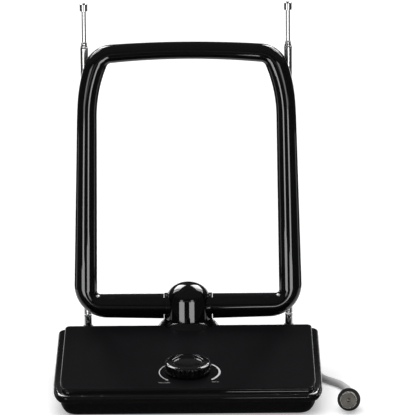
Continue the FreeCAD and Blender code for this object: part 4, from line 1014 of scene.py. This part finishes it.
@dataclass
class PostDome:
    """The post: a body that widens a little towards its foot, a low dome and a round cheek on each side."""

    radius: float = 13.1
    foot_radius: float = 13.45
    foot_z: float = BAR_Z - 10.7
    seat_z: float = BAR_Z - 8.48
    seat_break: Pair = (0.03, 0.02)
    side_rings: int = 10
    dome_z: float = BAR_Z + 4.3
    dome_rise: float = 10.5
    dome_steps: int = 40
    wall: float = 2.4
    flare_profile: Sequence[Triple] = (
        (13.5, -0.2, 0.0), (13.6, 0.45, 0.1), (14.5, 0.45, 0.5), (15.9, -0.65, 1.2), (18.35, -3.8, 0.3),
        (17.8, -3.9, 0.0), (13.5, -0.2, 0.0))
    round_steps: int = 128
    cheek_radius: float = 8.0
    cheek_start: float = 9.0
    cheek_end: float = 13.3
    cheek_round: float = 0.2
    cheek_steps: int = 72

    def body(self) -> bpy.types.Object:
        """Spin the hollow body: the dome's inside, the foot, the side and the dome.

        Returns:
            The body.
        """
        angles = [math.tau / 4.0 * step / self.dome_steps for step in range(self.dome_steps + 1)]
        dome = [(self.radius * math.cos(angle), self.dome_z + self.dome_rise * math.sin(angle))
                for angle in angles]
        inner = [(max(0.0, reach - self.wall * reach / self.radius),
                  height - self.wall * (height - self.dome_z) / self.radius) for reach, height in reversed(dome)]
        back, lift = self.seat_break
        foot = [(self.radius - self.wall, self.foot_z), (self.radius, self.foot_z), (self.radius, self.seat_z),
                (self.foot_radius - back, self.seat_z), (self.foot_radius, self.seat_z + lift)]
        side = [(self.foot_radius + (self.radius - self.foot_radius) * ring / self.side_rings,
                 self.seat_z + back + (self.dome_z - self.seat_z) * ring / self.side_rings)
                for ring in range(self.side_rings)]
        shape = spun([*inner, *foot, *side, *dome], self.round_steps)
        bmesh.ops.translate(shape, verts=shape.verts, vec=(0.0, POST_Y, 0.0))
        piece = finished("post_dome", shape, Finishes.LOOP, "base")
        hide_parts("pivot_post")
        return piece

    def flare(self) -> bpy.types.Object:
        """Spin the flare of the casing round the post's foot.

        Returns:
            The flare.
        """
        profile = [(radius, self.seat_z + height, bend) for radius, height, bend in self.flare_profile]
        shape = spun(rounded(profile), self.round_steps)
        bmesh.ops.translate(shape, verts=shape.verts, vec=(0.0, POST_Y, 0.0))
        return finished("boss_flare", shape, Finishes.CASING, "base")

    def cheek(self, side: str, angle: float) -> bpy.types.Object:
        """Spin the cheek that faces one end of the loop's bar.

        Args:
            side: The side's name.
            angle: The turn from upright to that side, in degrees.

        Returns:
            The cheek.
        """
        shape = spun(rounded([
            (0.0, self.cheek_start, 0.0), (self.cheek_radius, self.cheek_start, 0.0),
            (self.cheek_radius, self.cheek_end, self.cheek_round), (0.0, self.cheek_end, 0.0)]), self.cheek_steps)
        swivel(shape, shape.verts, angle, "Y")
        bmesh.ops.translate(shape, verts=shape.verts, vec=(0.0, POST_Y, BAR_Z))
        return finished(f"post_cheek_{side}", shape, Finishes.LOOP, "base")

    def build(self) -> None:
        """Make the body, the flare and the cheeks."""
        self.body()
        self.flare()
        for side, angle in zip(SIDES, (-90.0, 90.0)):
            self.cheek(side, angle)


@dataclass
class PlugGrip:
    """The plug's moulded grip: a smooth ring in front, ridges for the fingers and a ribbed tail."""

    seat: Triple = (92.27, -53.1, 6.72)
    tilt: float = 10.8
    turn: float = 4.3
    steps: int = 96

    def build(self) -> bpy.types.Object:
        """Spin the grip along the plug's axis.

        Returns:
            The grip.
        """
        front = rounded([
            (4.6, -4.0, 0.0), (4.66, 0.0, 0.05), (6.6, 0.0, 0.35), (6.6, -1.2, 0.2), (5.95, -1.25, 0.0)])
        ridges = ridged((5.95, -1.25), (4.55, -9.6), count=6, depth=0.35)
        tail = ridged((4.1, -10.2), (2.95, -17.6), count=5, depth=0.4)
        end = [(2.95, -17.8), (2.3, -18.0)]
        shape = spun([*front, *ridges, *tail, *end], self.steps)
        level = Matrix.Rotation(math.radians(90.0 - self.tilt), 4, "X")
        aim = Matrix.Rotation(math.radians(-self.turn), 4, "Z") @ level
        bmesh.ops.transform(shape, matrix=Matrix.Translation(self.seat) @ aim, verts=shape.verts)
        piece = finished("plug_grip", shape, Finishes.FITTING, "base")
        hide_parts("plug_body")
        return piece


@dataclass
class CableGland:
    """The gland in the rear wall: a round flange and a ribbed sleeve that keeps the lead from kinking."""

    place: Triple = (3.0, 66.35, 13.0)
    steps: int = 72

    def build(self) -> bpy.types.Object:
        """Spin the gland and lay it along the lead.

        Returns:
            The gland.
        """
        flange = rounded([
            (2.6, -2.0, 0.0), (3.4, -2.0, 0.0), (3.4, 0.0, 0.0), (4.6, 0.0, 0.1), (4.6, 1.6, 0.5),
            (3.5, 1.6, 0.0)])
        sleeve = ridged((3.4, 1.7), (2.95, 13.2), count=7, depth=0.45)
        end = [(2.9, 13.6), (2.3, 13.6)]
        shape = spun([*flange, *sleeve, *end], self.steps)
        swivel(shape, shape.verts, -90.0, "X")
        bmesh.ops.translate(shape, verts=shape.verts, vec=self.place)
        piece = finished("ribbed_gland", shape, Finishes.FITTING, "base")
        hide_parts("cable_gland")
        return piece


@dataclass
class RodFerrules:
    """The rolled lips where each tube of a rod comes out of the one below."""

    reach: float = 162.8
    step: float = 1.45
    radius: float = 2.4
    drop: float = 0.36
    profile: Sequence[Triple] = (
        (-0.02, -1.5, 0.0), (0.1, -1.3, 0.1), (0.1, -0.6, 0.25), (-0.05, 0.02, 0.2), (-0.28, 0.06, 0.0))
    steps: int = 48

    def build(self) -> None:
        """Spin a lip for each tube on both rods."""
        top = PIN_Z + TUBE_FOOT_GAP + self.reach
        for side, x in zip(SIDES, (-ROD_X, ROD_X)):
            for number, name in enumerate(("lower", "middle", "upper")):
                radius = self.radius - number * self.drop
                profile = [(radius + out, height, bend) for out, height, bend in self.profile]
                shape = spun(rounded(profile), self.steps)
                bmesh.ops.translate(shape, verts=shape.verts, vec=(x, ROD_Y, top + number * self.step))
                finished(f"{name}_lip_{side}", shape, Finishes.CHROME, f"{name}_tube_{side}")


@dataclass
class PanelPrint:
    """The printed scale round the knob: a thin arc with an arrowhead, a growing arc and two small words."""

    radius: float = 17.45
    half_span: float = 43.0
    arc_steps: int = 40
    arrow_size: float = 1.0
    shift: float = 0.9
    lift: float = 0.03
    letter_height: float = 1.8
    letter_offset: float = -0.02

    def arc(self, name: str, middle: float, widths: Pair, arrow: bool) -> bpy.types.Object:
        """Print one arc.

        Args:
            name: The piece's name.
            middle: The direction of the arc's middle, in degrees from the right.
            widths: The ink's width at the upper and the lower end.
            arrow: Whether the lower end has an arrowhead.

        Returns:
            The print.
        """
        side = 1.0 if math.cos(math.radians(middle)) > 0 else -1.0
        first = middle + side * self.half_span
        span = 2.0 * self.half_span
        half = widths[0] / 2.0
        ends = [(self.radius - half, 0.0, 0.0), (self.radius + half, 0.0, 0.0)]
        shape = swept(ends, first, -side * span, self.arc_steps)
        for vert in shape.verts:
            angle = math.degrees(math.atan2(vert.co.y, vert.co.x))
            share = abs((angle - first + 180.0) % 360.0 - 180.0) / span
            wanted = (widths[0] + (widths[1] - widths[0]) * share) / 2.0
            reach = vert.co.length
            vert.co *= (self.radius + math.copysign(wanted, reach - self.radius)) / reach
        if arrow:
            tip = bmesh.ops.create_circle(shape, cap_ends=True, segments=3, radius=self.arrow_size)["verts"]
            swivel(shape, tip, 180.0 if side > 0 else 0.0, "Z")
            bmesh.ops.translate(shape, verts=tip, vec=(self.radius, 0.0, 0.0))
            swivel(shape, tip, middle - side * self.half_span, "Z")
        place = KNOB_SEAT + Vector((self.shift, 0.0, 0.0)) + OFF_PANEL * self.lift
        bmesh.ops.transform(shape, matrix=panel_matrix(place), verts=shape.verts)
        return finished(name, shape, Finishes.INK, "base", smooth=False)

    def word(self, name: str, text: str, across: float, along: float) -> bpy.types.Object:
        """Print one small word.

        Args:
            name: The piece's name.
            text: The word.
            across: Its middle, to the right of the knob.
            along: Its middle, up the panel from the knob.

        Returns:
            The print.
        """
        letters = bpy.data.curves.new(name, "FONT")
        letters.body = text
        letters.size = self.letter_height
        letters.offset = self.letter_offset
        letters.align_x = "CENTER"
        letters.align_y = "CENTER"
        drawn = linked(f"{name}_outline", letters)
        bpy.context.view_layer.update()
        flat = bpy.data.meshes.new_from_object(drawn)
        bpy.data.objects.remove(drawn)
        shape = bmesh.new()
        shape.from_mesh(flat)
        bpy.data.meshes.remove(flat)
        place = KNOB_SEAT + Vector((across, 0.0, 0.0)) + ALONG_PANEL * along + OFF_PANEL * self.lift
        bmesh.ops.transform(shape, matrix=panel_matrix(place), verts=shape.verts)
        return finished(name, shape, Finishes.INK, "base", smooth=False)

    def build(self) -> None:
        """Print the whole scale."""
        self.arc("scale_left", 180.0, (0.45, 0.55), arrow=True)
        self.arc("scale_right", 0.0, (0.95, 1.35), arrow=False)
        self.word("word_off", "ON/OFF", across=-13.4, along=-16.3)
        self.word("word_max", "MAX", across=15.8, along=-15.3)


@dataclass
class Studio:
    """Floor, lights and camera."""

    camera_place: Triple = (0.01209, -1.71023, 0.40224)
    camera_down: float = 9.7
    camera_roll: float = -0.45
    camera_lens: float = 257.3
    key_strength: float = 2.6
    key_spread: float = 80.0
    key_tilt: Pair = (16.0, -8.0)
    tent_middle: Triple = (0.0, 0.02, 0.0)
    tent_radius: float = 1.35
    tent_height: float = 0.6
    tent_gap: float = 0.01
    ground_z: float = 0.0004
    strip_z: float = 0.0008
    strip_start: float = 0.42
    strip_left: Pair = (-42.5, -27.5)
    strip_right: Pair = (14.5, 28.5)
    card_step: float = 5.0
    softbox_low: tuple[Triple, Triple] = ((0.81, 0.3, 0.51), (0.3, 0.79, 0.53))
    softbox_high: tuple[Triple, Triple] = ((0.55, 0.06, 0.83), (0.1, 0.58, 0.81))
    softbox_reach: float = 2.5
    softbox_glow: float = 12.0
    louvres: tuple[Pair, ...] = ((0.0, 0.07), (0.14, 0.2), (0.28, 0.34), (0.42, 1.0))
    floor_half: float = 12.0
    floor_z: float = -0.0002
    floor_tone: float = 0.86
    floor_glow: float = 0.38
    world_level: float = 0.1

    def floor(self) -> None:
        """Lay a plain pale floor."""
        shape = bmesh.new()
        bmesh.ops.create_grid(shape, x_segments=1, y_segments=1, size=self.floor_half)
        piece = meshed("floor", shape)
        piece.location = (0.0, 0.0, self.floor_z)
        material, graph = node_material("pale_floor")
        rays = graph.add("ShaderNodeLightPath", {}, {})
        seen = (rays.signal("Is Camera Ray") + rays.signal("Is Glossy Ray")
                + rays.signal("Is Transmission Ray")).clamped()
        tone = (self.floor_tone, self.floor_tone, self.floor_tone, 1.0)
        plain = graph.add("ShaderNodeBsdfDiffuse", {}, {"Color": tone}).signal("BSDF")
        glow = self.emission(graph, self.floor_glow)
        dark = self.emission(graph, 0.0)
        lift = graph.add("ShaderNodeMixShader", {}, {0: seen, 1: dark, 2: glow}).signal("Shader")
        both = graph.add("ShaderNodeAddShader", {}, {0: plain, 1: lift}).signal("Shader")
        graph.add("ShaderNodeOutputMaterial", {}, {"Surface": both})
        piece.data.materials.append(material)

    @staticmethod
    def emission(graph: Graph, strength: float) -> Signal:
        """Give a white glow, where a strength of 1 is white."""
        return graph.add("ShaderNodeEmission", {}, {"Color": WHITE_LIGHT, "Strength": strength}).signal("Emission")

    def world(self) -> None:
        """Fill the room with dim even light."""
        world = bpy.data.worlds.new("room")
        world.use_nodes = True
        graph = Graph(world.node_tree)
        glow = graph.add("ShaderNodeBackground", {}, {"Color": WHITE_LIGHT, "Strength": self.world_level})
        graph.add("ShaderNodeOutputWorld", {}, {"Surface": glow.signal("Background")})
        bpy.context.scene.world = world

    def key(self) -> None:
        """Hang one broad soft light high in front."""
        lamp = bpy.data.lights.new("key", "SUN")
        lamp.energy = self.key_strength
        lamp.angle = math.radians(self.key_spread)
        holder = linked("key", lamp)
        holder.rotation_euler = (*(math.radians(angle) for angle in self.key_tilt), 0.0)
        holder.visible_glossy = False

    def reflect(self, name: str, shape: bmesh.types.BMesh, strength: float) -> None:
        """Hang a glowing card that only reflections show.

        Args:
            name: The card's name.
            shape: Its mesh, in metres, which is used up.
            strength: How bright it is.
        """
        material, graph = node_material(name)
        graph.add("ShaderNodeOutputMaterial", {}, {"Surface": self.emission(graph, strength)})
        piece = meshed(name, shape)
        piece.data.materials.append(material)
        piece.visible_camera = False
        piece.visible_diffuse = False
        piece.visible_shadow = False

    def card(self, name: str, ring: tuple[Pair, Pair], span: Pair, strength: float) -> None:
        """Stand or lay a curved card round the object.

        Args:
            name: The card's name.
            ring: Radius and height of its first edge, then of its second.
            span: The directions that it fills, in degrees to the right of the camera's.
            strength: How bright it is.
        """
        ends = [(0.0, -radius, height) for radius, height in ring]
        sweep = span[1] - span[0]
        shape = swept(ends, span[0], sweep, max(2, round(sweep / self.card_step)))
        bmesh.ops.translate(shape, verts=shape.verts, vec=self.tent_middle)
        self.reflect(name, shape, strength)

    def softbox(self, name: str, side: float) -> None:
        """Hang a softbox with louvres high behind the object.

        Args:
            name: The softbox's name.
            side: 1 for the right and -1 for the left.
        """
        low_side, low_rear = map(Vector, self.softbox_low)
        high_side, high_rear = map(Vector, self.softbox_high)
        middle = Vector((0.0, POST_Y * MM, BAR_Z * MM))
        flip = Vector((side, 1.0, 1.0))
        for number, (first, last) in enumerate(self.louvres, start=1):
            shape = bmesh.new()
            corners = (low_side.lerp(low_rear, first), low_side.lerp(low_rear, last),
                       high_side.lerp(high_rear, last), high_side.lerp(high_rear, first))
            places = [middle + corner * flip * self.softbox_reach for corner in corners]
            bmesh.ops.contextual_create(shape, geom=[shape.verts.new(place) for place in places])
            self.reflect(f"{name}_{number}", shape, self.softbox_glow)

    def laid(self, inside: float, outside: float) -> tuple[Pair, Pair]:
        """Give the edges of a card that lies on the floor."""
        return (inside, self.strip_z), (outside, self.strip_z)

    @staticmethod
    def stood(radius: float, low: float, high: float) -> tuple[Pair, Pair]:
        """Give the edges of a card that stands upright."""
        return (radius, low), (radius, high)

    def tent(self) -> None:
        """Put dark cards round the object with strips of light between them, as for any glossy black thing."""
        far, tall, ground = self.tent_radius, self.tent_height, self.ground_z
        near = far - self.tent_gap
        middle, front = near - self.tent_gap, near - 2.0 * self.tent_gap
        left, right = self.strip_left, self.strip_right
        for name, ring, span, glow in (
                ("dark_front", self.stood(far, 0.0, tall), (-162.0, 162.0), 0.045),
                ("dark_rear", self.stood(far, 0.0, tall + 0.25), (162.0, 198.0), 0.014),
                ("dark_ground", ((0.002, ground), (far, ground)), (0.0, 360.0), 0.05),
                ("pale_ground", self.laid(0.05, 0.27), (100.0, 260.0), 0.8),
                ("pale_front", self.laid(0.155, 0.185), (-60.0, 60.0), 0.25),
                ("pale_horizon", self.stood(near, 0.0, 0.2), (145.0, 215.0), 1.8),
                ("high_left", self.stood(front, 0.0, 0.3), left, 3.5),
                ("high_right", self.stood(front, 0.0, 0.3), right, 3.5),
                ("far_wall", self.stood(middle, 0.032, 0.09), (-48.0, 40.0), 0.85),
                ("strip_left", self.laid(self.strip_start, near), left, 7.5),
                ("strip_right", self.laid(self.strip_start, near), right, 7.5),
                ("strip_side_left", self.laid(0.3, near), (244.0, 254.0), 1.2),
                ("strip_side_right", self.laid(0.3, near), (106.0, 116.0), 1.2),
                ("low_left", self.laid(0.19, 0.43), (-51.0, -21.5), 6.5),
                ("low_right", self.laid(0.19, 0.43), (6.0, 34.0), 6.5)):
            self.card(name, ring, span, glow)
        self.softbox("softbox_left", -1.0)
        self.softbox("softbox_right", 1.0)

    def camera(self) -> None:
        """Set the camera as the photograph was taken."""
        lens = bpy.data.cameras.new("camera")
        lens.sensor_width = 36.0
        lens.sensor_fit = "AUTO"
        lens.lens = self.camera_lens
        lens.clip_start = 0.05
        lens.clip_end = 60.0
        holder = linked("camera", lens)
        aim = Matrix.Rotation(math.radians(90.0 - self.camera_down), 4, "X")
        roll = Matrix.Rotation(math.radians(self.camera_roll), 4, "Z")
        holder.matrix_world = Matrix.Translation(self.camera_place) @ aim @ roll
        bpy.context.scene.camera = holder

    def build(self) -> None:
        """Set up the whole studio."""
        self.floor()
        self.world()
        self.key()
        self.tent()
        self.camera()
        bpy.context.scene.view_settings.view_transform = "Standard"


def dress_nodes() -> None:
    """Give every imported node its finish."""
    for finish, names in NODE_FINISHES.items():
        for name in names:
            paint(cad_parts[name], finish)


def main() -> None:
    """Build the studio and the pieces in order."""
    logging.basicConfig(level=logging.INFO, format="%(message)s")
    Studio().build()
    dress_nodes()
    LoopCover().build()
    GainKnob().build()
    PanelPrint().build()
    PostDome().build()
    grip = PlugGrip().build()
    CableGland().build()
    RodFerrules().build()
    lead = AerialLead()
    cord = lead.build()
    tie = lead.tie()


if __name__ == "__main__":
    main()
